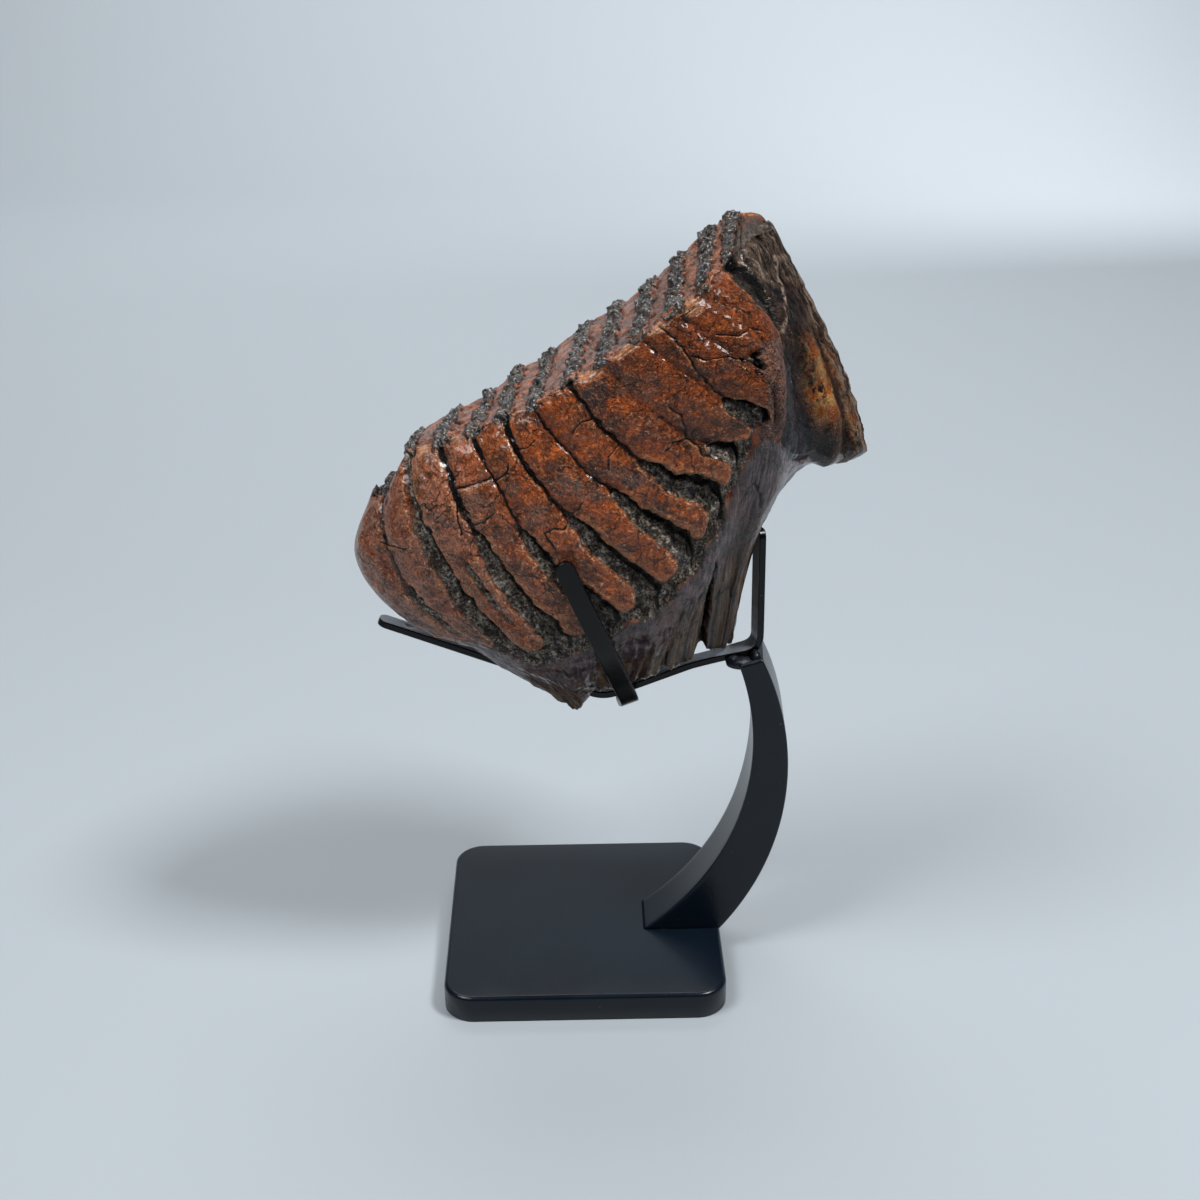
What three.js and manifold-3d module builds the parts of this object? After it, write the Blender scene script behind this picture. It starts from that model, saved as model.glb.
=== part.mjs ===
// A fossil mammoth molar held in a bent steel cradle on a square stand.
// Millimetres, +Z up, +X to the right, -Y towards the viewer. The origin is the centre of the
// base plate's underside.
//
// The molar is a row of upright enamel plates glued together by cementum. Each plate leaves a
// line down the tooth's side, from the chewing edge through the crown to the root's tip. The
// whole tooth is one closed skin stretched over these lines.
import * as THREE from "three";
import { mergeVertices } from "three/addons/utils/BufferGeometryUtils.js";
import Module from "manifold-3d";

const wasm = await Module();
wasm.setup();

// ---- driving dimensions ----------------------------------------------------------------

// base plate: a square of 10 mm steel with rounded corners and a softened top edge
const BASE_SIDE = 100;
const BASE_THICKNESS = 10;
const BASE_CORNER = 11;
const BASE_EDGE = 1.6;

// arm: a 19 mm bar, cut to a crescent between two circles seen from the front
const ARM_NEAR = -10.4;
const ARM_FAR = 8.6;
const ARM_INNER = { x: -33.7, z: 85.8, radius: 93.9 };
const ARM_OUTER = { x: -30.7, z: 74.9, radius: 103.7 };
const ARM_TOP_INNER = 117.7;
const ARM_TOP_OUTER = 120.2;
const ARM_TWIST_START = 60;
const ARM_TWIST = 0.08;
const ARM_ROWS = 16;

// cradle strips: flat bar, 6.4 mm wide and 2.4 mm thick
const STRIP_WIDTH = 6.4;
const STRIP_THICKNESS = 2.4;
const SPINE_Y = -0.9;
const CLEARANCE = 0.3;
// steps of a quarter turn that round a strip's end
const END_TURNS = [0.12, 0.35, 0.65, 1];

// centre line of the long strip, seen from the front: free tip, low bend, seat, corner, leg top
const SPINE_ROUTE = [
  { x: -69.3, z: 133.6, bend: 0 },
  { x: 8, z: 103.4, bend: 12 },
  { x: 38.5, z: 115.2, bend: 30 },
  { x: 61.6, z: 121.4, bend: 4.5 },
  { x: 61.3, z: 165.5, bend: 0 },
];

// centre line of the strip that crosses under it and rises at both sides as prongs
const PRONG = [
  new THREE.Vector3(15.9, -6, 103.4),
  new THREE.Vector3(16.6, -11.2, 106),
  new THREE.Vector3(13.4, -20, 117.8),
  new THREE.Vector3(10.5, -26.4, 127.4),
  new THREE.Vector3(7.7, -30.6, 135.7),
  new THREE.Vector3(2.2, -34.6, 149.7),
  new THREE.Vector3(-5.6, -36.1, 168.9),
];
const PRONG_MIRROR_Y = -0.7;

// weld: a row of lumps that joins the arm's top to the long strip
const WELD_LUMPS = [
  { x: 52.5, y: -2, z: 116.2, size: 3.2 },
  { x: 55.5, y: -6, z: 117, size: 3 },
  { x: 59, y: -7, z: 118.6, size: 2.6 },
  { x: 53, y: 3.2, z: 116.6, size: 2.8 },
  { x: 56.5, y: 5.4, z: 118, size: 3 },
  { x: 60.5, y: 4, z: 119.6, size: 2.6 },
  { x: 63, y: -1.5, z: 119.8, size: 2.6 },
];

const WELD_SPREAD = { x: 1.25, y: 1.1, z: 0.8 };

// ---- the molar -------------------------------------------------------------------------

// Stations down each plate line: chewing edge, crown, crown's lower edge, root, root tip.
const STATIONS = [0, 0.25, 0.5, 0.75, 0.833, 0.917, 1];
const CROWN_EDGE = 0.75;

// Each plate line in the tooth's middle plane as [x, z] at the stations, from the worn front
// end (first line) to the tall back end (last line).
const PLATE_LINES = [
  [[-68.5, 181], [-75.5, 160], [-66.5, 141.5], [-46, 128], [-35, 122.5], [-18, 109.5], [-2.5, 97.5]],
  [[-62.5, 184.5], [-60, 168], [-49.5, 149], [-35, 134], [-29, 128], [-13, 112], [-1, 100.5]],
  [[-54, 199.5], [-47, 177.5], [-35, 154], [-17.5, 130], [-11.5, 121.5], [-5, 111], [0.5, 101]],
  [[-42.5, 205], [-32, 182.5], [-19, 158], [-1.5, 133], [0, 124], [1.5, 113], [5.5, 108.5]],
  [[-31, 209], [-19.5, 188.5], [-5.5, 165], [13.5, 142], [12.5, 132], [10.5, 121.5], [10.5, 110.5]],
  [[-22, 214.5], [-9, 195], [7.5, 175.5], [27.5, 149.5], [26.5, 138.5], [25.5, 125.5], [21.5, 114]],
  [[-11.5, 219], [4, 200.5], [22, 184], [39.5, 163], [38, 150], [34.5, 133.5], [31, 117.5]],
  [[0, 227.5], [13, 211], [30.5, 196], [48.5, 181], [47.5, 166], [43.5, 145.5], [39.5, 121.5]],
  [[10.5, 233], [23.5, 221], [39, 209.5], [54.5, 197.5], [54, 181], [49, 152.5], [46, 124.5]],
  [[21.5, 240.5], [35, 231.5], [48.5, 221.5], [60, 207.5], [59.5, 192.5], [53.5, 160], [48, 124]],
  [[31.5, 248], [47, 238.5], [61.5, 228], [65, 207.5], [64.5, 192], [56, 160.5], [49.5, 124.5]],
  [[41, 254], [57, 243], [66.5, 226], [68.5, 203.5], [67.5, 189.5], [58, 163], [50.5, 124]],
  [[48.5, 258.5], [64, 241.5], [71, 218.5], [73.5, 193.5], [69.5, 186], [59.5, 162], [51.5, 122]],
  [[63.5, 261.5], [75, 236.5], [85.5, 212], [90.5, 186], [71.5, 180], [60, 157], [52.5, 120.5]],
];
const LAST = PLATE_LINES.length - 1;
const LINES = PLATE_LINES.map((_, index) => index);

// half thickness of the tooth at each plate line, on its near and far side; the last near
// value is negative because the end face turns round behind the middle plane
const SIDE_NEAR = [0, 22.5, 29.4, 32.9, 34, 34, 34, 34, 34, 34, 33, 27, 10, -17];
const SIDE_FAR = [0, 20, 27, 30.5, 32, 33, 33, 33, 33, 33, 32.5, 31.5, 29, 17];
const NOSE_LINES = 4;
const NOSE_NEAR = 34;
const NOSE_FAR = 32;
const TURN_LINE = 11.5;
const TURN_FAR = 33;

// how much of that half thickness there is at each station, and at the chewing edge itself
const PROFILE = [0.88, 1, 1, 0.86, 0.74, 0.52, 0.3];
const CHEW_NEAR = [0.4, 0.5, 0.55, 0.6, 0.65, 0.74, 0.83, 0.88, 0.88, 0.88, 0.88, 0.9, 0.9, 0.88];
const CHEW_FAR = [0.3, 0.3, 0.3, 0.44, 0.6, 0.72, 0.83, 0.88, 0.88, 0.88, 0.88, 0.9, 0.9, 0.88];
// the far chewing edge stands higher than the near one by this much
const LIFT = [-2.5, -2.5, -2, -0.8, 0.4, 1, 1.6, 2.2, 2.8, 3.4, 4.8, 7.6, 10, 9];
const LIFT_WIDTH = 60;
// the plates lie a little askew: their far ends are set back along the tooth
const SKEW = 0.1;

// Grooves between the plates on the near side, each as [station, half width, depth].
const NEAR_GROOVES = [
  { line: 1, stops: [[0, 1, 1], [0.36, 0.8, 0.6], [0.45, 2, 2.6], [0.7, 2, 2.6], [0.78, 1.5, 0]] },
  { line: 2, stops: [[0, 1.8, 1.8], [0.3, 2.2, 2.6], [0.7, 2.7, 3.2], [0.79, 2, 0]] },
  { line: 3, stops: [[0, 1.1, 1.2], [0.36, 1.2, 1.4], [0.45, 2.6, 3.2], [0.7, 2.6, 3.4], [0.78, 2, 0]] },
  { line: 4, stops: [[0, 1, 1], [0.3, 1, 0.8], [0.45, 2.2, 3], [0.72, 2.4, 3.4], [0.79, 2, 0]] },
  { line: 5, stops: [[0, 1.6, 1.8], [0.1, 1, 1], [0.38, 1, 0.8], [0.48, 2.4, 3], [0.72, 2.6, 3.4], [0.8, 2, 0]] },
  { line: 6, stops: [[0, 0.6, 0.5], [0.38, 0.6, 0.5], [0.48, 1.8, 2.6], [0.72, 2.4, 3.4], [0.79, 2, 0]] },
  { line: 7, stops: [[0, 1.4, 1.4], [0.1, 1, 1], [0.48, 1, 1], [0.56, 3.8, 3.8], [0.72, 3.6, 4], [0.8, 2, 0]] },
  { line: 8, stops: [[0, 0.6, 0.3], [0.56, 0.6, 0.3], [0.63, 3.6, 4], [0.72, 3.6, 4], [0.78, 2, 0]] },
  { line: 9, stops: [[0, 0.6, 0.4], [0.55, 0.6, 0.3], [0.62, 4.4, 4], [0.71, 4.4, 3.6], [0.76, 2, 0]] },
  { line: 10, stops: [[0, 0.6, 0.4], [0.4, 0.6, 0.3], [0.48, 1.6, 1.5], [0.56, 0.6, 0]] },
  { line: 11, stops: [[0, 3, 1.6], [0.22, 3.6, 2.2], [0.34, 1, 0]] },
];

// On the far side they open lower down, each at a height of its own.
const FAR_GROOVES = LINES.slice(1, -1).map((line) => {
  const open = 0.36 + 0.07 * Math.sin(2.4 * line);
  const half = 2.3 + 0.5 * Math.sin(1.7 * line);
  return {
    line,
    stops: [[0, 0.9, 0.8], [open, 0.9, 0.8], [open + 0.1, half, 2.9], [0.7, half, 3.2], [0.78, 2, 0]],
  };
});

// slots between the root's branches, beside a plate line
const ROOT_SLOTS = [
  { line: 7.5, stops: [[0.88, 0.5, 0], [0.92, 2.3, 4], [1, 2.4, 5]] },
  { line: 5.6, stops: [[0.93, 0.5, 0], [0.97, 1.5, 2.5], [1, 1.6, 3]] },
];

const PLATE_SWELL = 0.7;
const TIP_BAND = { from: 0.69, to: 0.775, depth: 1.9, first: 2.2, last: 8.3 };
const CHEW_RIDGE = { height: 1.3, half: 2.6 };
const ROOT_HOLLOW = { depth: 8, first: 4, last: 12.5 };
const LUMPS = 0.45;

// samples of the skin
const NOSE_STEPS = [0, 0.03, 0.1, 0.24, 0.45, 0.72];
const PLATE_STEPS = [0, 0.16, 0.4, 0.64, 0.84];
const END_STEPS = [0.93, 0.98, 1];
const CROWN_STEPS = [0, 0.03, 0.08, 0.15, 0.24, 0.34, 0.43, 0.5, 0.58, 0.65, 0.7, 0.745];
const ROOT_STEPS = [0.79, 0.85, 0.91, 0.96, 1];
const SIDE_STEPS = [...CROWN_STEPS, ...ROOT_STEPS];
const UNDER_STEPS = [0.2, 0.4, 0.6, 0.8];
const CHEW_STEPS = [0.08, 0.25, 0.42, 0.58, 0.75, 0.92];

// ---- helpers ---------------------------------------------------------------------------

const clamp01 = (value) => Math.min(1, Math.max(0, value));

function smooth(from, to, value) {
  const part = clamp01((value - from) / (to - from));
  return part * part * (3 - 2 * part);
}

// Straight interpolation of ys over the rising xs.
function linear(xs, ys, x) {
  let i = 0;
  while (i < xs.length - 2 && x > xs[i + 1]) i++;
  const part = clamp01((x - xs[i]) / (xs[i + 1] - xs[i]));
  return ys[i] + (ys[i + 1] - ys[i]) * part;
}

// Smooth interpolation of ys over the rising xs, with slopes taken from both neighbours.
function curve(xs, ys, x) {
  const last = xs.length - 1;
  let i = 0;
  while (i < last - 1 && x >= xs[i + 1]) i++;
  const rise = (a) => (ys[a + 1] - ys[a]) / (xs[a + 1] - xs[a]);
  const slope = (a) => {
    if (a === 0) return rise(0);
    if (a === last) return rise(last - 1);
    const before = xs[a] - xs[a - 1];
    const after = xs[a + 1] - xs[a];
    return (rise(a - 1) * after + rise(a) * before) / (before + after);
  };
  const h = xs[i + 1] - xs[i];
  const u = (x - xs[i]) / h;
  const u2 = u * u;
  const u3 = u2 * u;
  return (
    (2 * u3 - 3 * u2 + 1) * ys[i] +
    (u3 - 2 * u2 + u) * h * slope(i) +
    (3 * u2 - 2 * u3) * ys[i + 1] +
    (u3 - u2) * h * slope(i + 1)
  );
}

// A closed geometry from a point list and a triangle list, with equal points joined and
// triangles that have shrunk to a line or a point left out.
function closedGeometry(points, triangles) {
  const loose = new THREE.BufferGeometry().setFromPoints(points);
  loose.setIndex(triangles);
  const merged = mergeVertices(loose, 1e-4);
  const kept = [];
  for (let i = 0; i < merged.index.count; i += 3) {
    const [a, b, c] = [0, 1, 2].map((j) => merged.index.getX(i + j));
    if (a !== b && b !== c && c !== a) kept.push(a, b, c);
  }
  merged.setIndex(kept);
  return merged;
}

function toSolid(geometry) {
  const bare = new THREE.BufferGeometry();
  bare.setAttribute("position", geometry.getAttribute("position"));
  if (geometry.index) bare.setIndex(geometry.index);
  const merged = mergeVertices(bare, 1e-4);
  return new wasm.Manifold(
    new wasm.Mesh({
      numProp: 3,
      vertProperties: new Float32Array(merged.attributes.position.array),
      triVerts: new Uint32Array(merged.index.array),
    }),
  );
}

// The largest body of a solid, as a geometry: crumbs that a cut leaves behind are dropped.
function toGeometry(solid) {
  const bodies = solid.decompose().sort((a, b) => b.volume() - a.volume());
  const mesh = bodies[0].getMesh();
  const geometry = new THREE.BufferGeometry();
  geometry.setAttribute("position", new THREE.BufferAttribute(mesh.vertProperties, 3));
  geometry.setIndex(new THREE.BufferAttribute(mesh.triVerts, 1));
  geometry.computeVertexNormals();
  return geometry;
}

// ---- cradle strips ---------------------------------------------------------------------

// Centre line of the long strip as points, with an arc at each bend.
function spinePath() {
  const corners = SPINE_ROUTE.map(({ x, z }) => new THREE.Vector3(x, SPINE_Y, z));
  const path = [corners[0]];
  for (let i = 1; i < corners.length - 1; i++) {
    const back = corners[i - 1].clone().sub(corners[i]).normalize();
    const ahead = corners[i + 1].clone().sub(corners[i]).normalize();
    const half = back.angleTo(ahead) / 2;
    const reach = SPINE_ROUTE[i].bend / Math.tan(half);
    const start = corners[i].clone().addScaledVector(back, reach);
    const end = corners[i].clone().addScaledVector(ahead, reach);
    const arc = new THREE.QuadraticBezierCurve3(start, corners[i], end);
    path.push(...arc.getPoints(6));
  }
  path.push(corners[corners.length - 1]);
  return path;
}

// Centre line of the cross strip: down one prong, under the long strip and up the other.
function crossPath() {
  const mirrored = PRONG.map(({ x, y, z }) => new THREE.Vector3(x, 2 * PRONG_MIRROR_Y - y, z));
  const curveNear = new THREE.CatmullRomCurve3([...PRONG].reverse(), false, "centripetal");
  const curveFar = new THREE.CatmullRomCurve3(mirrored, false, "centripetal");
  return [...curveNear.getPoints(22), ...curveFar.getPoints(22)];
}

// A flat bar with rounded ends along a path. across gives the direction of its width at a
// point of the path; grow makes the bar thicker all round.
function strap(path, across, grow = 0) {
  const half = STRIP_WIDTH / 2 + grow;
  const thick = STRIP_THICKNESS / 2 + grow;
  const stations = [];
  const direction = (i) =>
    path[Math.min(i + 1, path.length - 1)].clone().sub(path[Math.max(i - 1, 0)]).normalize();
  const addEnd = (i, way) => {
    const tip = path[i].clone().addScaledVector(direction(i), way * grow);
    return END_TURNS.map((turn) => {
      const angle = (turn * Math.PI) / 2;
      const inset = half * (1 - Math.cos(angle));
      const point = tip.clone().addScaledVector(direction(i), -way * inset);
      return { point, width: half * Math.sin(angle), i };
    });
  };
  stations.push(...addEnd(0, -1));
  for (let i = 1; i < path.length - 1; i++) {
    const clearOfEnds =
      path[i].distanceTo(path[0]) > half + 0.5 &&
      path[i].distanceTo(path[path.length - 1]) > half + 0.5;
    if (clearOfEnds) stations.push({ point: path[i], width: half, i });
  }
  stations.push(...addEnd(path.length - 1, 1).reverse());

  const points = [];
  for (const { point, width, i } of stations) {
    const along = direction(i);
    const side = across(point).clone();
    side.addScaledVector(along, -side.dot(along)).normalize();
    const up = along.clone().cross(side);
    for (const [a, b] of [[-1, -1], [1, -1], [1, 1], [-1, 1]]) {
      points.push(point.clone().addScaledVector(side, a * width).addScaledVector(up, b * thick));
    }
  }
  const triangles = [0, 2, 1, 0, 3, 2];
  for (let s = 0; s < stations.length - 1; s++) {
    for (let e = 0; e < 4; e++) {
      const a = 4 * s + e;
      const b = 4 * s + ((e + 1) % 4);
      triangles.push(a, b, b + 4, a, b + 4, a + 4);
    }
  }
  const end = 4 * (stations.length - 1);
  triangles.push(end, end + 1, end + 2, end, end + 2, end + 3);
  return closedGeometry(points, triangles);
}

const spineAcross = () => new THREE.Vector3(0, 1, 0);
// the cross strip's width lies along the long strip's slope
const crossAcross = () => new THREE.Vector3(0.93, 0, 0.37);

// ---- stand -----------------------------------------------------------------------------

function basePlate() {
  const side = BASE_SIDE - 2 * BASE_EDGE;
  const half = side / 2;
  const r = BASE_CORNER - BASE_EDGE;
  const outline = new THREE.Shape();
  outline.moveTo(half, -half + r);
  outline.absarc(half - r, half - r, r, 0, Math.PI / 2);
  outline.absarc(-half + r, half - r, r, Math.PI / 2, Math.PI);
  outline.absarc(-half + r, -half + r, r, Math.PI, 1.5 * Math.PI);
  outline.absarc(half - r, -half + r, r, 1.5 * Math.PI, 2 * Math.PI);
  const geometry = new THREE.ExtrudeGeometry(outline, {
    depth: BASE_THICKNESS - BASE_EDGE,
    curveSegments: 6,
    bevelThickness: BASE_EDGE,
    bevelSize: BASE_EDGE,
    bevelSegments: 3,
  });
  // the lower edge stays square: its bevel is folded flat onto the underside
  const position = geometry.attributes.position;
  for (let i = 0; i < position.count; i++) {
    if (position.getZ(i) < 0) {
      position.setZ(i, 0);
    }
  }
  return geometry;
}

// x of a circle's right-hand side at height z
function circleX({ x, z: centre, radius }, z) {
  return x + Math.sqrt(radius * radius - (z - centre) ** 2);
}

// The arm: rows of four corners between the two circles, turned slightly towards the top.
function armGeometry() {
  const points = [];
  for (let row = 0; row <= ARM_ROWS; row++) {
    const part = row / ARM_ROWS;
    const inner = BASE_THICKNESS + (ARM_TOP_INNER - BASE_THICKNESS) * part;
    const outer = BASE_THICKNESS + (ARM_TOP_OUTER - BASE_THICKNESS) * part;
    for (const [circle, z, y] of [
      [ARM_INNER, inner, ARM_NEAR],
      [ARM_OUTER, outer, ARM_NEAR],
      [ARM_OUTER, outer, ARM_FAR],
      [ARM_INNER, inner, ARM_FAR],
    ]) {
      const twist = ARM_TWIST * smooth(ARM_TWIST_START, ARM_TOP_INNER, z) * (y - ARM_NEAR);
      points.push(new THREE.Vector3(circleX(circle, z) + twist, y, z));
    }
  }
  const triangles = [0, 2, 1, 0, 3, 2];
  for (let row = 0; row < ARM_ROWS; row++) {
    for (let e = 0; e < 4; e++) {
      const a = 4 * row + e;
      const b = 4 * row + ((e + 1) % 4);
      triangles.push(a, b, b + 4, a, b + 4, a + 4);
    }
  }
  const end = 4 * ARM_ROWS;
  triangles.push(end, end + 1, end + 2, end, end + 2, end + 3);
  return closedGeometry(points, triangles);
}

// The arm with its weld: lumps joined to the bar and cut clear of the long strip.
function armWithWeld(spineCut) {
  let solid = toSolid(armGeometry());
  for (const { x, y, z, size } of WELD_LUMPS) {
    const lump = new THREE.IcosahedronGeometry(size, 1);
    lump.scale(WELD_SPREAD.x, WELD_SPREAD.y, WELD_SPREAD.z);
    lump.translate(x, y, z);
    solid = solid.add(toSolid(lump));
  }
  return toGeometry(solid.subtract(spineCut));
}

// ---- molar -----------------------------------------------------------------------------

// Top of the long strip's low run at x, used to let the tooth sit on it.
function spineTop(x) {
  const xs = SPINE_ROUTE.slice(0, 4).map((corner) => corner.x);
  const zs = SPINE_ROUTE.slice(0, 4).map((corner) => corner.z);
  return linear(xs, zs, x) + 1.35;
}

// Point of plate line k at station t in the middle plane.
function linePoint(k, t) {
  const at = (axis) => {
    const down = STATIONS.map((_, s) => curve(LINES, PLATE_LINES.map((line) => line[s][axis]), k));
    return curve(STATIONS, down, t);
  };
  return [at(0), at(1)];
}

function noseRound(k) {
  return Math.sqrt(Math.max(0, 1 - (1 - clamp01(k / NOSE_LINES)) ** 2));
}

// Y of the near and far skin on plate line k at station t.
function skinY(k, t) {
  const near = k < NOSE_LINES ? NOSE_NEAR * noseRound(k) : curve(LINES, SIDE_NEAR, k);
  let far = k < NOSE_LINES ? NOSE_FAR * noseRound(k) : curve(LINES, SIDE_FAR, k);
  if (k > TURN_LINE) {
    const q = (k - TURN_LINE) / (LAST - TURN_LINE);
    const end = SIDE_FAR[LAST];
    far = end + (TURN_FAR - end) * Math.sqrt(Math.max(0, 1 - q * q));
  }
  const share = curve(STATIONS, PROFILE, t);
  const toEdge = clamp01(1 - t / STATIONS[1]) ** 2;
  const nearShare = share - (PROFILE[0] - curve(LINES, CHEW_NEAR, k)) * toEdge;
  const farShare = share - (PROFILE[0] - curve(LINES, CHEW_FAR, k)) * toEdge;
  return [-near * nearShare, far * farShare];
}

// The skin's point on the near (side -1) or far (side 1) face, before its relief.
function sidePoint(k, t, side) {
  const [x, z] = linePoint(k, t);
  const [near, far] = skinY(k, t);
  const y = side < 0 ? near : far;
  const lift = side < 0 ? 0 : (curve(LINES, LIFT, k) * (1 - t) * (far - near)) / LIFT_WIDTH;
  return new THREE.Vector3(x + SKEW * y, y, z + lift);
}

// Depth of one groove at k and t, with a flat floor and sloping walls; pitch is the distance
// between plate lines there.
function grooveDepth({ line, stops }, k, t, pitch) {
  const ts = stops.map((stop) => stop[0]);
  if (t < ts[0]) return 0;
  const half = linear(ts, stops.map((stop) => stop[1]), t);
  const depth = linear(ts, stops.map((stop) => stop[2]), t);
  const away = Math.abs(k - line) * pitch;
  return depth * (1 - smooth(0.5 * half, 1.5 * half + 0.6, away));
}

function sideRelief(k, t, side, pitch) {
  const grooves = side < 0 ? [...NEAR_GROOVES, ...ROOT_SLOTS] : FAR_GROOVES;
  const cut = Math.max(0, ...grooves.map((groove) => grooveDepth(groove, k, t, pitch)));
  const middle = 1 - Math.abs(2 * (k - Math.floor(k)) - 1) ** 3;
  const crown = 1 - smooth(CROWN_EDGE - 0.06, CROWN_EDGE, t);
  const swell = PLATE_SWELL * middle * crown * smooth(0, 0.12, t);
  const { from, to, depth, first, last } = TIP_BAND;
  const inBand = smooth(from, from + 0.02, t) * (1 - smooth(to - 0.03, to, t));
  const band = depth * inBand * smooth(first - 1, first, k) * (1 - smooth(last, last + 0.7, k));
  const lumps = LUMPS * Math.sin(2.3 * k + 9 * t + side) * Math.sin(17 * t + 1.9 * k);
  return swell + lumps - Math.max(cut, band);
}

// One closed ring of the skin round plate line k: near side down, underside, far side up,
// chewing surface back. relief tells each point's kind.
function ring(k) {
  const near = SIDE_STEPS.map((t) => ({ point: sidePoint(k, t, -1), t, side: -1 }));
  const far = [...SIDE_STEPS].reverse().map((t) => ({ point: sidePoint(k, t, 1), t, side: 1 }));
  const between = (from, to, part) => from.point.clone().lerp(to.point, part);
  const { depth, first, last } = ROOT_HOLLOW;
  const hollow = depth * smooth(first, first + 2, k) * (1 - smooth(last - 1, last, k));
  const under = UNDER_STEPS.map((part) => {
    const point = between(near[near.length - 1], far[0], part);
    point.z += hollow * Math.sin(Math.PI * part);
    return { point, t: 1, side: 0 };
  });
  const chew = CHEW_STEPS.map((part) => {
    const point = between(far[far.length - 1], near[0], part);
    return { point, t: 0, side: 2, part };
  });
  return [...near, ...under, ...far, ...chew];
}

function toothSamples() {
  const samples = [...NOSE_STEPS];
  for (let line = 1; line < LAST; line++) {
    samples.push(...PLATE_STEPS.map((step) => line + step));
  }
  samples.push(...END_STEPS.map((step) => LAST - 1 + step));
  return samples;
}

// Raised enamel loops and sunk cementum on the chewing surface, broken into lumps across it.
function chewRelief(k, part, pitch) {
  const away = Math.abs(k - Math.round(k)) * pitch;
  const edge = Math.min(part, 1 - part);
  const lumpy = 0.75 + 0.35 * Math.sin(19 * part + 4 * Math.round(k));
  return CHEW_RIDGE.height * lumpy * Math.exp(-((away / CHEW_RIDGE.half) ** 2)) * smooth(0, 0.1, edge);
}

function toothGeometry() {
  const samples = toothSamples();
  const rings = samples.map(ring);
  const size = rings[0].length;
  const points = [];
  rings.forEach((row, r) => {
    const k = samples[r];
    const before = rings[Math.max(r - 1, 0)];
    const after = rings[Math.min(r + 1, rings.length - 1)];
    const step = samples[Math.min(r + 1, rings.length - 1)] - samples[Math.max(r - 1, 0)];
    const fade = smooth(0, 0.5, k) * (1 - smooth(LAST - 0.6, LAST, k));
    row.forEach(({ point, t, side, part }, s) => {
      const along = after[s].point.clone().sub(before[s].point);
      const round = row[(s + 1) % size].point.clone().sub(row[(s + size - 1) % size].point);
      const normal = round.cross(along).normalize();
      const pitch = along.length() / step;
      let relief = 0;
      if (side === 2) relief = chewRelief(k, part, pitch);
      if (side === -1 || side === 1) relief = sideRelief(k, t, side, pitch);
      const moved = point.clone().addScaledVector(normal, relief * fade);
      // a roof over the long strip keeps the low edge of the tooth astride it
      const roof = spineTop(moved.x) + 0.4 - 1.5 * Math.max(0, Math.abs(moved.y - SPINE_Y) - 3.6);
      if (moved.x < 62) moved.z = Math.max(moved.z, roof);
      points.push(moved);
    });
  });
  const triangles = [];
  for (let r = 0; r < rings.length - 1; r++) {
    for (let s = 0; s < size; s++) {
      const a = r * size + s;
      const b = r * size + ((s + 1) % size);
      triangles.push(a, b + size, a + size, a, b, b + size);
    }
  }
  return closedGeometry(points, triangles);
}

// ---- assembly --------------------------------------------------------------------------

const BLACK_STEEL = { color: 0x14161a, roughness: 0.45, metalness: 0.4 };
const FOSSIL = { color: 0x6e3f2c, roughness: 0.4, metalness: 0 };

function addPiece(group, name, geometry, finish) {
  const mesh = new THREE.Mesh(geometry, new THREE.MeshStandardMaterial(finish));
  mesh.name = name;
  group.add(mesh);
}

const spine = strap(spinePath(), spineAcross);
const cross = strap(crossPath(), crossAcross);
const spineCut = toSolid(strap(spinePath(), spineAcross, CLEARANCE));
const crossCut = toSolid(strap(crossPath(), crossAcross, CLEARANCE));
const tooth = toSolid(toothGeometry()).subtract(spineCut).subtract(crossCut);

const group = new THREE.Group();
addPiece(group, "tooth", toGeometry(tooth), FOSSIL);
addPiece(group, "base_plate", basePlate(), BLACK_STEEL);
addPiece(group, "arm", armWithWeld(spineCut), BLACK_STEEL);
addPiece(group, "cradle_spine", spine, BLACK_STEEL);
addPiece(group, "cradle_cross_strip", cross, BLACK_STEEL);

export default group;
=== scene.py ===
"""Looks of a fossil mammoth molar that rests in a bent steel cradle on a square stand.

Sizes in the tables below are millimetres in the frame's axes: +Z up, +X to the right and -Y
towards the viewer. Meshes are made in metres.
"""

import math

import bpy
import numpy as np
from bpy.props import FloatProperty, FloatVectorProperty, PointerProperty
from mathutils import Matrix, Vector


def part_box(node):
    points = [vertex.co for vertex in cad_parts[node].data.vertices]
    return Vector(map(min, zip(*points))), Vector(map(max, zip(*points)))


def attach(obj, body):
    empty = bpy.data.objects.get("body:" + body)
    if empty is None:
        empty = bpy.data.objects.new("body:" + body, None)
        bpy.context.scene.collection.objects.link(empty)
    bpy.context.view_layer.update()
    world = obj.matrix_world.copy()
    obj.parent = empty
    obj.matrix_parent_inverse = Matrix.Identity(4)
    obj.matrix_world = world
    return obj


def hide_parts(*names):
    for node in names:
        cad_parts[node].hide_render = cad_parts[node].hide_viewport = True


bl_info = {
    "name": "Fossil molar on a stand",
    "version": (1, 0, 0),
    "blender": (4, 5, 0),
    "location": "3D View > Sidebar > Fossil",
    "description": "Builds the fossil molar, its steel cradle and stand, and a plain studio",
    "category": "Object",
}

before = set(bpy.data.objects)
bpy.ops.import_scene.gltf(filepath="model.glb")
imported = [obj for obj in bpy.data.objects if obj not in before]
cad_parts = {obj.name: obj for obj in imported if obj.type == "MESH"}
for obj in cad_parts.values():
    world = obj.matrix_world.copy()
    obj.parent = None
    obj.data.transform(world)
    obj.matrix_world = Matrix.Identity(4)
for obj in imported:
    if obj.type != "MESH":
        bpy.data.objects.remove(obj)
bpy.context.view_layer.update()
MM = 0.001
BODY = "root"

# --- sizes of the molar ---

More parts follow.
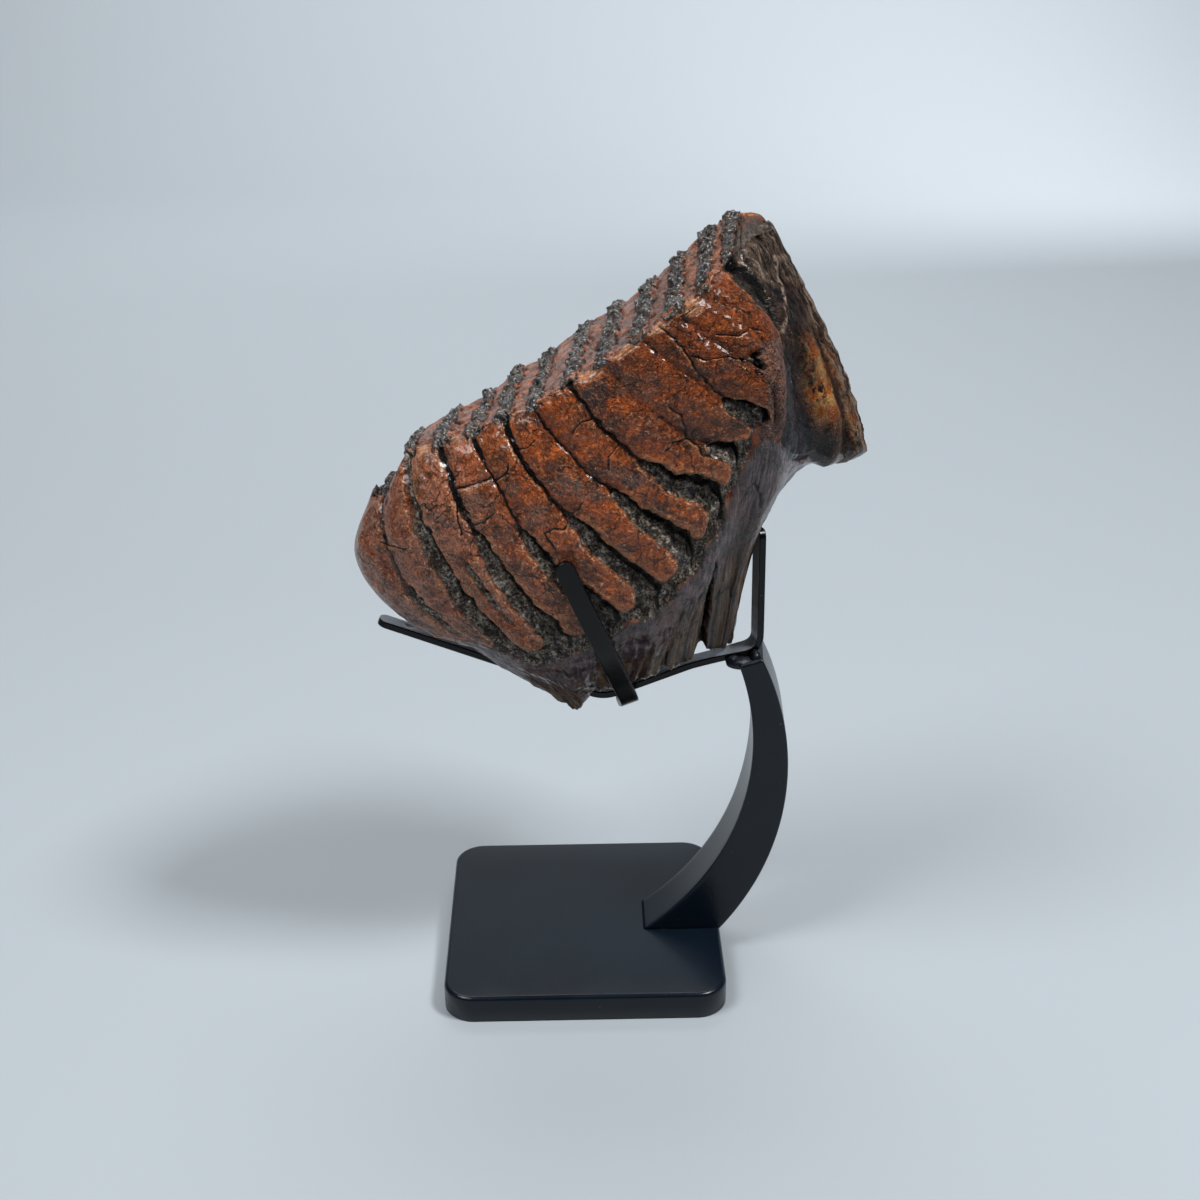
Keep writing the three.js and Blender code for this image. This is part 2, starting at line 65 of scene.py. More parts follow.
# Stations down each plate line: chewing edge, crown, crown's lower edge, root, root tip.
STATIONS = np.array([0, 0.25, 0.5, 0.75, 0.833, 0.917, 1.0])
CROWN_EDGE = 0.75

# Each plate line in the tooth's middle plane as (x, z) at the stations, from the worn front
# end (first line) to the tall back end (last line).
PLATE_LINES = np.array([
    [(-68.5, 181), (-75.5, 160), (-66.5, 141.5), (-46, 128), (-35, 122.5), (-18, 109.5),
     (-2.5, 97.5)],
    [(-62.5, 184.5), (-60, 168), (-49.5, 149), (-35, 134), (-29, 128), (-13, 112), (-1, 100.5)],
    [(-54, 199.5), (-47, 177.5), (-35, 154), (-17.5, 130), (-11.5, 121.5), (-5, 111), (0.5, 101)],
    [(-42.5, 205), (-32, 182.5), (-19, 158), (-1.5, 133), (0, 124), (1.5, 113), (5.5, 108.5)],
    [(-31, 209), (-19.5, 188.5), (-5.5, 165), (13.5, 142), (12.5, 132), (10.5, 121.5),
     (10.5, 110.5)],
    [(-22, 214.5), (-9, 195), (7.5, 175.5), (27.5, 149.5), (26.5, 138.5), (25.5, 125.5),
     (21.5, 114)],
    [(-11.5, 219), (4, 200.5), (22, 184), (39.5, 163), (38, 150), (34.5, 133.5), (31, 117.5)],
    [(0, 227.5), (13, 211), (30.5, 196), (48.5, 181), (47.5, 166), (43.5, 145.5), (39.5, 121.5)],
    [(10.5, 233), (23.5, 221), (39, 209.5), (54.5, 197.5), (54, 181), (49, 152.5), (46, 124.5)],
    [(21.5, 240.5), (35, 231.5), (48.5, 221.5), (60, 207.5), (59.5, 192.5), (53.5, 160), (48, 124)],
    [(31.5, 248), (47, 238.5), (61.5, 228), (65, 207.5), (64.5, 192), (56, 160.5), (49.5, 124.5)],
    [(41, 254), (57, 243), (66.5, 226), (68.5, 203.5), (67.5, 189.5), (58, 163), (50.5, 124)],
    [(48.5, 258.5), (64, 241.5), (71, 218.5), (73.5, 193.5), (69.5, 186), (59.5, 162), (51.5, 122)],
    [(63.5, 262.3), (76.8, 238.5), (88.8, 214), (97.5, 189.5), (74.5, 181.2), (60.5, 158),
     (52.5, 120.5)],
])
LAST = len(PLATE_LINES) - 1
LINES = np.arange(LAST + 1.0)

# Half thickness at each plate line on the near and far side, the share of it at each
# station, and its share at the chewing edge.
SIDE_NEAR = np.array([0, 22.5, 29.4, 32.9, 34, 34, 34, 34, 34, 34, 33, 27, 10, -17])
SIDE_FAR = np.array([0, 20, 27, 30.5, 32, 33, 33, 33, 33, 33, 32.5, 31.5, 29, 17])
NOSE_LINES, NOSE_NEAR, NOSE_FAR = 4, 34, 32
TURN_LINE, TURN_FAR = 11.5, 33
PROFILE = np.array([0.88, 1, 1, 0.86, 0.74, 0.52, 0.3])
CHEW_NEAR = np.array([
    0.4, 0.5, 0.55, 0.6, 0.65, 0.74, 0.83, 0.88, 0.88, 0.88, 0.88, 0.9, 0.9, 0.88,
])
CHEW_FAR = np.array([
    0.3, 0.3, 0.3, 0.44, 0.6, 0.72, 0.83, 0.88, 0.88, 0.88, 0.88, 0.9, 0.9, 0.88,
])
LIFT = np.array([-2.5, -2.5, -2, -0.8, 0.4, 1, 1.6, 2.2, 2.8, 3.4, 4.8, 7.6, 10, 9])
LIFT_WIDTH = 60
SKEW = 0.1

# Grooves between the plates: line, then (station, half width, depth) down the tooth.
NEAR_GROOVES = [
    (1, [(0, 1.4, 1.2), (0.15, 1.4, 1.2), (0.22, 0.3, 0.4), (0.36, 0.3, 0.4), (0.42, 2.4, 1.8),
         (0.7, 3, 1.9), (0.78, 1.5, 0)]),
    (2, [(0, 1.8, 1.4), (0.14, 1.8, 1.2), (0.2, 2.4, 1.5), (0.3, 3.2, 1.8), (0.55, 3.7, 2),
         (0.7, 4, 2.2), (0.79, 2, 0)]),
    (3, [(0, 1.2, 1.2), (0.1, 0.9, 1.2), (0.2, 1.6, 1.4), (0.28, 0.7, 1), (0.32, 1.9, 1.6),
         (0.45, 3, 2.1), (0.56, 3.5, 2.2), (0.7, 4.4, 2.5), (0.78, 2, 0)]),
    (4, [(0, 1, 1.2), (0.08, 0.8, 1), (0.1, 0.3, 0.5), (0.32, 0.35, 0.6), (0.36, 1.6, 2),
         (0.46, 2.6, 2.3), (0.58, 3.6, 2.6), (0.71, 4.7, 2.8), (0.79, 2, 0)]),
    (5, [(0, 1.5, 2), (0.04, 1.1, 1.8), (0.2, 0.8, 1.5), (0.37, 0.5, 1), (0.43, 2, 2.8),
         (0.56, 3.3, 3), (0.71, 4.8, 3.2), (0.8, 2, 0)]),
    (6, [(0, 0.25, 0.4), (0.36, 0.3, 0.4), (0.4, 1.4, 2.4), (0.54, 3.4, 3), (0.64, 4.8, 3.2),
         (0.71, 5.2, 3.2), (0.79, 2, 0)]),
    (7, [(0, 1.4, 1.6), (0.05, 0.6, 1.2), (0.38, 0.5, 0.9), (0.43, 2.4, 3), (0.54, 4, 3.4),
         (0.64, 5.2, 3.4), (0.7, 5.6, 3.6), (0.8, 2, 0)]),
    (7.85, [(0.56, 0.4, 0), (0.62, 2.8, 3), (0.68, 3.6, 3.4), (0.72, 3.2, 3), (0.76, 1, 0)]),
    (8.98, [(0.485, 0.4, 0), (0.52, 1.6, 2), (0.57, 4, 3.6), (0.66, 5, 3.8), (0.7, 4.4, 3.6),
         (0.725, 1, 0)]),
    (10.2, [(0.35, 0.4, 0), (0.38, 1.6, 2.6), (0.44, 1.8, 2.6), (0.48, 0.3, 0)]),
    (11.95, [(0, 4, 0.8), (0.06, 6, 1.8), (0.2, 6, 2.8), (0.28, 5, 2.4), (0.34, 1.4, 0)]),
]
FAR_OPEN, FAR_OPEN_SWING, FAR_OPEN_RATE = 0.36, 0.07, 2.4
FAR_HALF, FAR_HALF_SWING, FAR_HALF_RATE = 2.1, 0.5, 1.7
# slots between the root's branches, which lean by this many lines for a whole tooth's height
SLOT_LEAN = 2.8
ROOT_SLOTS = [
    (7.2, [(0.85, 0.6, 0), (0.88, 2.2, 7), (0.96, 1.7, 8), (1, 1, 6)]),
    (5.6, [(0.93, 0.4, 0), (0.96, 1.2, 3), (1, 1.4, 3.5)]),
]
# a furrow inside one plate
SIDE_FURROWS = [
    (2.55, [(0.34, 0.3, 0), (0.4, 1, 1.8), (0.5, 1.1, 2), (0.6, 0.7, 1), (0.66, 0.3, 0)]),
]
# Cracks on the near side, as (line, station) corners. The far side has them at
# FAR_CRACK_FROM - line.
CRACKS = [
    [(9.56, 0), (9.51, 0.11), (9.46, 0.17), (9.39, 0.21), (9.22, 0.29), (9.11, 0.38), (9.03, 0.51)],
    [(9.43, 0.22), (9.53, 0.28), (9.84, 0.32), (9.96, 0.36), (10.14, 0.38), (10.12, 0.42)],
    [(8.24, 0.34), (8.25, 0.4), (8.11, 0.44), (7.93, 0.48), (7.73, 0.446), (7.49, 0.442)],
    [(7.93, 0.48), (7.88, 0.54), (7.75, 0.57), (7.72, 0.61)],
    [(3.05, 0.15), (3.58, 0.156), (3.98, 0.154)],
    [(4.05, 0.166), (4.45, 0.168), (4.6, 0.15)],
    [(5.02, 0.12), (5.39, 0.128), (5.55, 0.115)],
    [(2.98, 0.18), (2.8, 0.248), (2.75, 0.29)],
    [(3.1, 0.268), (3.46, 0.272), (3.6, 0.262)],
    [(4.35, 0.45), (4.42, 0.388), (4.62, 0.398), (4.75, 0.422), (4.95, 0.41)],
    [(5.05, 0.392), (5.23, 0.39), (5.45, 0.372)],
    [(0.94, 0.21), (1.11, 0.23), (1.5, 0.27)],
    [(6.4, 0.158), (6.7, 0.15), (6.93, 0.17)],
    [(6.4, 0.33), (6.62, 0.3), (6.95, 0.31)],
    [(10.2, 0.2), (10.5, 0.26), (10.9, 0.25), (11.2, 0.3)],
    [(7.85, 0.93), (8.5, 0.93), (9.5, 0.95), (10.6, 0.94)],
    [(8.1, 0.826), (9, 0.84), (9.7, 0.862)],
]
FAR_CRACK_FROM = 12.4
# station, then the lines where the end face and the dark corner beside it begin
CORNER_BAND = [(0.3, 12.05, 10.9), (0.355, 11.88, 10.55), (0.456, 11.38, 10.1), (0.614, 10.8, 9.65),
               (0.726, 10.7, 9.0), (0.8, 10.5, 8.6)]
# a worn ledge across the top of the end face, as (line, station) corners
END_LEDGE = [(12.78, 0.07), (12.6, 0.156), (12.39, 0.224), (12.1, 0.315)]
# the flats between the enamel ridges are worn down by this much
WORN_FLATS = 0.9
# for the colours: real distance between two plate lines and down the tooth, in metres
PLATE_PITCH, TOOTH_DEPTH = 0.012, 0.14
# how much of a groove's depth its filled floor has, and how much its trench adds
FLOOR_SHARE, TRENCH_SHARE = 0.55, 0.95

# how far the near side's lower rim is moved up, at plate lines
ROOT_EDGE = [
    (3, 0), (4.5, -0.8), (5.5, -1.8), (6.2, -3), (6.7, -3.8), (6.95, -3), (7.1, -0.5), (7.25, 1.4),
    (7.45, 1), (7.7, -2.4), (8.1, -3), (8.6, -2.8), (9.5, -3.4), (10.5, -3), (11.3, -1),
]
# rise of the top beside the last line, and sag of the broken flange below it
CROWN_DOME, FLANGE_SAG = 3.2, 4.3

TIP_BAND = {"top": 0.69, "bottom": 0.775, "depth": 2.0, "first": 2.2, "last": 8.3}
ROOT_HOLLOW = {"depth": 8.0, "first": 4.0, "last": 12.5}

# Samples of the skin: along the tooth, down its sides, under it and across the chewing surface.
# The far side has half as many rows as the near one.
STEPS_PER_PLATE = 29
SIDE_ROWS = 125
FAR_STEP = 2
UNDER_ROWS = 14
CHEW_ROWS = 48
# points closer than this, in metres, are one
WELD_APART = 1e-6
# passes that round the chewing edges and the root's rim
SOFTEN_ROUNDS = 5
# extra samples near the rounded front end and the last line, in plate lines
FRONT_SAMPLES = 0.2 * np.array([0.002, 0.01, 0.03, 0.08])
BACK_SAMPLES = 0.1 * np.array([0.01, 0.05, 0.12, 0.2])

# --- sizes of the stand ---

BASE_CORNER = 11.0
ARM_INNER = {"x": -33.7, "z": 85.8, "radius": 93.9}
ARM_OUTER = {"x": -30.7, "z": 74.9, "radius": 103.7}
ARM_TOP_INNER, ARM_TOP_OUTER = 117.7, 120.2
ARM_TWIST_START, ARM_TWIST = 60.0, 0.08
ARM_WIDTH, ARM_EDGE = 19.0, 0.7
STRIP_WIDTH, STRIP_THICKNESS = 6.4, 2.4
SPINE_Y = -0.9
# corners of the long strip's centre line, seen from the front, and how far each bend reaches
SPINE_ROUTE = [
    (-69.3, 133.6, 0), (8, 103.4, 12), (38.5, 115.2, 30), (61.6, 121.4, 6), (61.3, 165.5, 0),
]
# the near prong's centre line, from the middle of the cross strip up to its tip
PRONG = np.array([
    (15.9, -6, 103.4), (16.6, -11.2, 106), (13.4, -20, 117.8), (10.5, -26.4, 127.4),
    (7.7, -30.6, 135.7), (2.2, -34.6, 149.7), (-5.6, -36.1, 168.9),
])
PRONG_MIRROR_Y = -0.7
# direction across the cross strip, and the points made along its prong and its whole length
CROSS_SIDE = (-0.93, 0, -0.37)
PRONG_STEPS, CROSS_STEPS = 80, 240
# Gap between tooth and cradle. Over the long strip it is a little more, up to the x where the
# strip turns up into its leg. The roof there is flat for a half width and then falls away.
CLEARANCE = 0.3
ROOF = {"gap": 0.15, "end": 62, "half": 3.6, "fall": 1.5}
# inner face of the long strip's leg: x at its top, how much further right its foot is and the
# heights between, and the least x and most z of the part of the tooth before it
LEG = {"face": 59.0, "foot": 0.6, "low": 122, "high": 160, "from": 50, "top": 167}
# behind the prongs: extra gap, what is kept clear past each edge, and the heights
BEHIND_PRONG = {"gap": 0.2, "past": 0.8, "low": 104, "high": 172}
# points on a corner of a bar's section and on the side between two, and along a strip
CORNER_POINTS, SIDE_POINTS, STRIP_SPACING = 5, 9, 0.6
# the long strip's leg is turned by this angle: where it starts and is reached, from its top
LEG_TWIST = (62.0, 36.0, 0.3)
# a small dent in the long strip: distance from its tip, radius and depth
TIP_DENT = (10.5, 1.3, 0.45)
# lumps of weld between the arm and the long strip: centre and half sizes
WELD_BEADS = [
    ((57.0, -6.3, 117.2), (6.4, 3.2, 2.3)),
    ((53.4, -5.2, 117.4), (3.0, 2.8, 1.9)),
    ((60.7, -5.8, 118.4), (2.2, 3.2, 3.4)),
    ((57.5, 4.6, 117.0), (5.0, 2.8, 1.7)),
]

# --- camera and lights ---

CAMERA_PLACE = (-1.11, -553.45, 390.63)
CAMERA_YAW, CAMERA_PITCH, CAMERA_ROLL = 0.844, -24.434, -0.5445
CAMERA_LENS = 52.98
SENSOR = 36.0
NEAREST, FARTHEST = 0.01, 50

# area lights, in metres: place, target, size and power as a share of the key light's
LIGHTS = {
    "right_softbox": ((0.72, -0.34, 1.35), (0, 0, 0.15), 0.32, 1.2),
    "left_softbox": ((-0.72, -0.4, 1.35), (0, 0, 0.15), 0.6, 0.9),
    "overhead": ((0.0, 1.0, 1.7), (0, 1.3, 0), 1.3, 1.05),
    "wall_light": ((-0.45, 1.0, 1.35), (-0.35, 2.25, 0.75), 1.0, 0.72),
    "horizon_light": ((0.6, 1.12, 0.58), (0.5, 2.1, 0.42), 0.3, 0.46),
}


# --- numbers ---

def smooth(low, high, x):
    """An eased step: 0 below low, 1 above high, 3u^2 - 2u^3 between."""
    u = np.clip((x - low) / (high - low), 0, 1)
    return u * u * (3 - 2 * u)


def curve(xs, ys, x):
    """A smooth curve through (xs, ys): cubic pieces whose slopes mix both neighbours' slopes."""
    xs, ys, x = np.asarray(xs, float), np.asarray(ys, float), np.asarray(x, float)
    wide = (-1,) + (1,) * (ys.ndim - 1)
    gap = np.diff(xs)
    rise = np.diff(ys, axis=0) / gap.reshape(wide)
    slope = np.concatenate([rise[:1], np.zeros_like(ys[1:-1]), rise[-1:]])
    before, after = gap[:-1].reshape(wide), gap[1:].reshape(wide)
    slope[1:-1] = (rise[:-1] * after + rise[1:] * before) / (before + after)
    i = np.clip(np.searchsorted(xs, x, side="right") - 1, 0, len(xs) - 2)
    h = gap[i].reshape(wide)
    u = ((x - xs[i]) / gap[i]).reshape(wide)
    return (
        (2 * u**3 - 3 * u**2 + 1) * ys[i] + (u**3 - 2 * u**2 + u) * h * slope[i]
        + (3 * u**2 - 2 * u**3) * ys[i + 1] + (u**3 - u**2) * h * slope[i + 1]
    )


def bell(x, centre, width):
    """A bell curve of height 1: exp of minus the squared distance from its centre in widths."""
    return np.exp(-((x - centre) / width) ** 2)


def distance_along(path):
    """Length of the path up to each of its points."""
    return np.concatenate([[0], np.cumsum(np.linalg.norm(np.diff(path, axis=0), axis=1))])


def gradient_noise(points, size, seed):
    """Smooth noise of about -1 to 1. Every corner of a lattice of cubes of this size holds a
    random direction, and a point takes the eased mix of its eight corners' slopes."""
    rng = np.random.default_rng(seed)
    table = rng.permutation(256)
    directions = rng.normal(size=(256, 3))
    directions /= np.linalg.norm(directions, axis=1, keepdims=True)
    scaled = points / size
    cell = np.floor(scaled).astype(np.int64)
    inside = scaled - cell
    ease = inside**3 * (inside * (inside * 6 - 15) + 10)
    total = np.zeros(points.shape[:-1])
    for corner in np.ndindex(2, 2, 2):
        at = cell + corner
        pick = table[(table[(table[at[..., 0] & 255] + at[..., 1]) & 255] + at[..., 2]) & 255]
        slope = (directions[pick] * (inside - corner)).sum(-1)
        total += slope * np.where(corner, ease, 1 - ease).prod(-1)
    return 1.6 * total


def rough_noise(points, size, seed, octaves):
    """Layers of gradient noise, each half the size and half the height of the one before."""
    layers = [gradient_noise(points, size / 2**i, seed + i) / 2**i for i in range(octaves)]
    return sum(layers) / 1.6


# --- meshes ---

def grid_faces(rows, columns, wrap_columns=True):
    """Corner numbers of the quads of a grid of points, whose columns close on themselves."""
    r = np.arange(rows - 1)[:, None]
    c = np.arange(columns if wrap_columns else columns - 1)[None, :]
    across = (c + 1) % columns
    quads = np.stack([r * columns + c, r * columns + across, (r + 1) * columns + across,
                      (r + 1) * columns + c], -1)
    return quads.reshape(-1, 4)


def welded(points, faces):
    """Joins points that lie in one place and splits the quads into triangles, without those
    that this shrinks to nothing. Returns the points, triangles and number of each kept point."""
    keys = np.round(points * MM / WELD_APART).astype(np.int64)
    _, first, number = np.unique(keys, axis=0, return_index=True, return_inverse=True)
    quads = number.reshape(-1)[faces]
    triangles = np.concatenate([quads[:, [0, 1, 2]], quads[:, [0, 2, 3]]])
    a, b, c = triangles.T
    return points[first], triangles[(a != b) & (b != c) & (c != a)].tolist(), first


def link_mesh(name, points, faces, material):
    """Adds a smooth shaded object made of points in metres and faces."""
    mesh = bpy.data.meshes.new(name)
    mesh.from_pydata(points, [], faces)
    mesh.validate()
    mesh.shade_smooth()
    mesh.materials.append(material)
    piece = bpy.data.objects.new(name, mesh)
    bpy.context.scene.collection.objects.link(piece)
    return piece


def make_mesh(name, points, faces, material, masks=None):
    """A piece of the part from points in millimetres, with one float attribute per mask."""
    piece = link_mesh(name, points * MM, faces, material)
    for label, values in (masks or {}).items():
        layer = piece.data.attributes.new(label, "FLOAT", "POINT")
        layer.data.foreach_set("value", np.ascontiguousarray(values, np.float32))
    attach(piece, BODY)
    return piece


def closed_rings(rings, inward=False):
    """Joins a stack of closed rings into one skin and closes both ends by a fan. inward is for
    rings that run the other way round. Returns points and faces."""
    rows, columns = rings.shape[:2]
    points = np.concatenate([rings.reshape(-1, 3), rings[[0, -1]].mean(axis=1)])
    order = -1 if inward else 1
    faces = grid_faces(rows, columns)[:, ::order].tolist()
    c = np.arange(columns)
    after, last = (c + 1) % columns, (rows - 1) * columns
    for middle, *rim in ((rows * columns, after, c), (rows * columns + 1, last + c, last + after)):
        faces += np.stack([np.full(columns, middle), *rim[::order]], -1).tolist()
    return points, faces


def rounded_section(half_width, half_height, radius):
    """Points round a rectangle with rounded corners, as (side, height): a quarter circle at
    each corner, and evenly spaced points along each side between them."""
    corners = [(1, -1, -90), (1, 1, 0), (-1, 1, 90), (-1, -1, 180)]
    arcs = []
    for sx, sz, start in corners:
        a = np.radians(start + np.linspace(0, 90, CORNER_POINTS))
        arcs.append(np.stack([sx * (half_width - radius) + radius * np.cos(a),
                              sz * (half_height - radius) + radius * np.sin(a)], -1))
    part = np.linspace(0, 1, SIDE_POINTS + 2)[1:-1, None]
    pieces = []
    for arc, following in zip(arcs, arcs[1:] + arcs[:1]):
        pieces += [arc, arc[-1] + (following[0] - arc[-1]) * part]
    return np.concatenate(pieces)


# --- materials ---

def tone(red, green, blue):
    """A colour given as 0-255 screen values, as scene-linear RGBA."""
    values = np.array([red, green, blue]) / 255
    linear = np.where(values <= 0.04045, values / 12.92, ((values + 0.055) / 1.055) ** 2.4)
    return (*linear.tolist(), 1.0)


class Value:
    """A number that varies over a surface: a node's output, which takes plain arithmetic.
    a * b keeps the part that two masks share, and a | b is the higher of the two."""

    def __init__(self, graph, socket):
        self.graph, self.socket = graph, socket

    def __add__(self, other):
        return self.graph.math("ADD", self, other)

    def __sub__(self, other):
        return self.graph.math("SUBTRACT", self, other)

    def __rsub__(self, other):
        return self.graph.math("SUBTRACT", other, self)

    def __mul__(self, other):
        return self.graph.math("MULTIPLY", self, other)

    def __or__(self, other):
        return self.graph.math("MAXIMUM", self, other)

    def __abs__(self):
        return self.graph.math("ABSOLUTE", self)

    def step(self, low, high):
        """0 to 1 while the number goes from low to high, which may be given in falling order."""
        inputs = {"Value": self, "From Min": low, "From Max": high}
        return self.graph.value("ShaderNodeMapRange", inputs, interpolation_type="SMOOTHSTEP")


class Graph:
    """Adds and joins the nodes of one material or node group."""

    def __init__(self, tree):
        self.tree = tree
        tree.nodes.clear()

    def add(self, kind, inputs=None, **settings):
        node = self.tree.nodes.new(kind)
        for name, value in settings.items():
            setattr(node, name, value)
        for socket, value in (inputs or {}).items():
            self.feed(node.inputs[socket], value)
        return node

    def feed(self, socket, value):
        if isinstance(value, Value):
            value = value.socket
        if isinstance(value, bpy.types.NodeSocket):
            self.tree.links.new(value, socket)
        else:
            socket.default_value = value

    def value(self, kind, inputs=None, output=0, **settings):
        return Value(self, self.add(kind, inputs, **settings).outputs[output])

    def place(self):
        """Object coordinates, in metres."""
        return self.add("ShaderNodeTexCoord").outputs["Object"]

    def mask(self, label):
        return self.value("ShaderNodeAttribute", output="Fac", attribute_name=label)

    def math(self, operation, *values):
        return self.value("ShaderNodeMath", dict(enumerate(values)), operation=operation)

    def noise(self, vector, size, detail=4.0, roughness=0.55, distortion=0.0):
        """Noise of 0 to 1 with features of this size in metres."""
        inputs = {"Vector": vector, "Scale": 1 / size, "Detail": detail, "Roughness": roughness,
                  "Distortion": distortion}
        return self.value("ShaderNodeTexNoise", inputs, "Fac")

    def vector(self, x, y, z):
        return self.add("ShaderNodeCombineXYZ", {"X": x, "Y": y, "Z": z}).outputs[0]

    def stretched(self, vector, scale):
        return self.add("ShaderNodeMapping", {"Vector": vector, "Scale": scale}).outputs[0]

    def mix(self, factor, low, high):
        """Goes from one colour to the other. Three plain numbers are 0-255 screen values."""
        low, high = (tone(*c) if isinstance(c, tuple) and len(c) == 3 else c for c in (low, high))
        return self.add("ShaderNodeMix", {0: factor, 6: low, 7: high}, data_type="RGBA").outputs[2]

    def painted(self, colour, *layers):
        """A colour under layers of paint, each (mask, share, its colour): where the mask is 1,
        that share of the colour covers what is below it."""
        for mask, share, paint in layers:
            colour = self.mix(mask if share == 1 else mask * share, colour, paint)
        return colour

    def blend(self, factor, low, high):
        return self.value("ShaderNodeMix", {0: factor, 2: low, 3: high}, data_type="FLOAT")

    def bump(self, height, depth, normal=None):
        inputs = {"Height": height, "Distance": depth, "Strength": 1.0}
        if normal is not None:
            inputs["Normal"] = normal
        return self.add("ShaderNodeBump", inputs).outputs[0]


def new_material(name):
    material = bpy.data.materials.new(name)
    material.use_nodes = True
    return material, Graph(material.node_tree)


def finish_material(graph, constants, **inputs):
    """Ends a graph in one Principled shader. constants are set on its own sockets."""
    shader = graph.add("ShaderNodeBsdfPrincipled", constants)
    for name, value in inputs.items():
        graph.feed(shader.inputs[name.replace("_", " ")], value)
    graph.add("ShaderNodeOutputMaterial", {0: shader.outputs[0]})


def speckle_group():
    """Shared effect: scattered specks. A fine noise is kept where it passes Level, so a higher
    Level leaves fewer specks. Output is a 0-1 mask."""
    name, ramp = "scattered_specks", 0.05
    if name in bpy.data.node_groups:
        return bpy.data.node_groups[name]
    tree = bpy.data.node_groups.new(name, "ShaderNodeTree")
    for label, default in (("Size", 0.001), ("Level", 0.7)):
        socket = tree.interface.new_socket(label, in_out="INPUT", socket_type="NodeSocketFloat")
        socket.default_value = default
    tree.interface.new_socket("Place", in_out="INPUT", socket_type="NodeSocketVector")
    tree.interface.new_socket("Specks", in_out="OUTPUT", socket_type="NodeSocketFloat")
    graph = Graph(tree)
    given = graph.add("NodeGroupInput").outputs
    scale = graph.math("DIVIDE", 1.0, given["Size"])
    inputs = {"Vector": given["Place"], "Scale": scale, "Detail": 1.0}
    noise = graph.value("ShaderNodeTexNoise", inputs, "Fac")
    high = graph.math("ADD", given["Level"], ramp)
    inputs = {"Value": noise, "From Min": given["Level"], "From Max": high}
    graph.add("NodeGroupOutput", {"Specks": graph.value("ShaderNodeMapRange", inputs)})
    return tree


def steel_material(name, dark, light, gloss, grey_top=None):
    """Satin black paint: a faint orange peel, soft patches of gloss and a few dust specks. gloss is
    its specular level. Where the mask of the upper face is high, it goes in patches to a light grey
    and turns a little metallic."""
    material, graph = new_material(name)
    place = graph.place()
    cloud = graph.noise(place, 0.03, detail=3)
    specks = {"Place": place, "Size": 0.0009, "Level": 0.79}
    dust = graph.value("ShaderNodeGroup", specks, node_tree=speckle_group())
    colour = graph.mix(cloud, dark, light)
    bare = {}
    if grey_top:
        grey_patches = graph.noise(place, 0.004, detail=5, roughness=0.7).step(0.2, 0.75)
        grey_patches = graph.mask("grey_top") * graph.blend(grey_patches, 0.6, 1.0)
        colour = graph.mix(grey_patches, colour, grey_top)
        bare["Metallic"] = grey_patches * 0.4
    colour = graph.painted(colour, (dust, 0.5, (120, 125, 130)))
    peel = graph.noise(place, 0.0009, detail=2)
    finish_material(graph, {"Specular IOR Level": gloss}, Base_Color=colour, **bare,
                    Roughness=graph.blend(cloud, 0.2, 0.28), Normal=graph.bump(peel, 0.00004))
    return material


def weld_material(look):
    """The same paint, thicker over the weld's ripples, with a broader and stronger shine."""
    material, graph = new_material("glossy_painted_weld")
    cloud = graph.noise(graph.place(), 0.004, detail=3)
    finish_material(graph, {"Specular IOR Level": 0.5},
                    Base_Color=graph.mix(cloud, look.steel_dark, look.steel_light),
                    Roughness=graph.blend(cloud, 0.34, 0.5), Normal=graph.bump(cloud, 0.0002))
    return material


def crazing(graph, place):
    """A net of hair cracks: the borders of shaken Voronoi cells, kept in some broad patches."""
    scale, shake, cells = 260.0, 0.005, 105.0
    noise = graph.add("ShaderNodeTexNoise", {"Vector": place, "Scale": scale, "Detail": 3.0})
    offset = graph.add("ShaderNodeVectorMath", {0: noise.outputs["Color"], 1: (0.5,) * 3},
                       operation="SUBTRACT")
    moved = graph.add("ShaderNodeVectorMath", {0: offset.outputs[0], 1: (shake,) * 3, 2: place},
                      operation="MULTIPLY_ADD")
    border = graph.value("ShaderNodeTexVoronoi", {"Vector": moved.outputs[0], "Scale": cells},
                         "Distance", feature="DISTANCE_TO_EDGE")
    return border.step(0.024, 0.008) * graph.noise(place, 0.025, detail=2).step(0.46, 0.54)


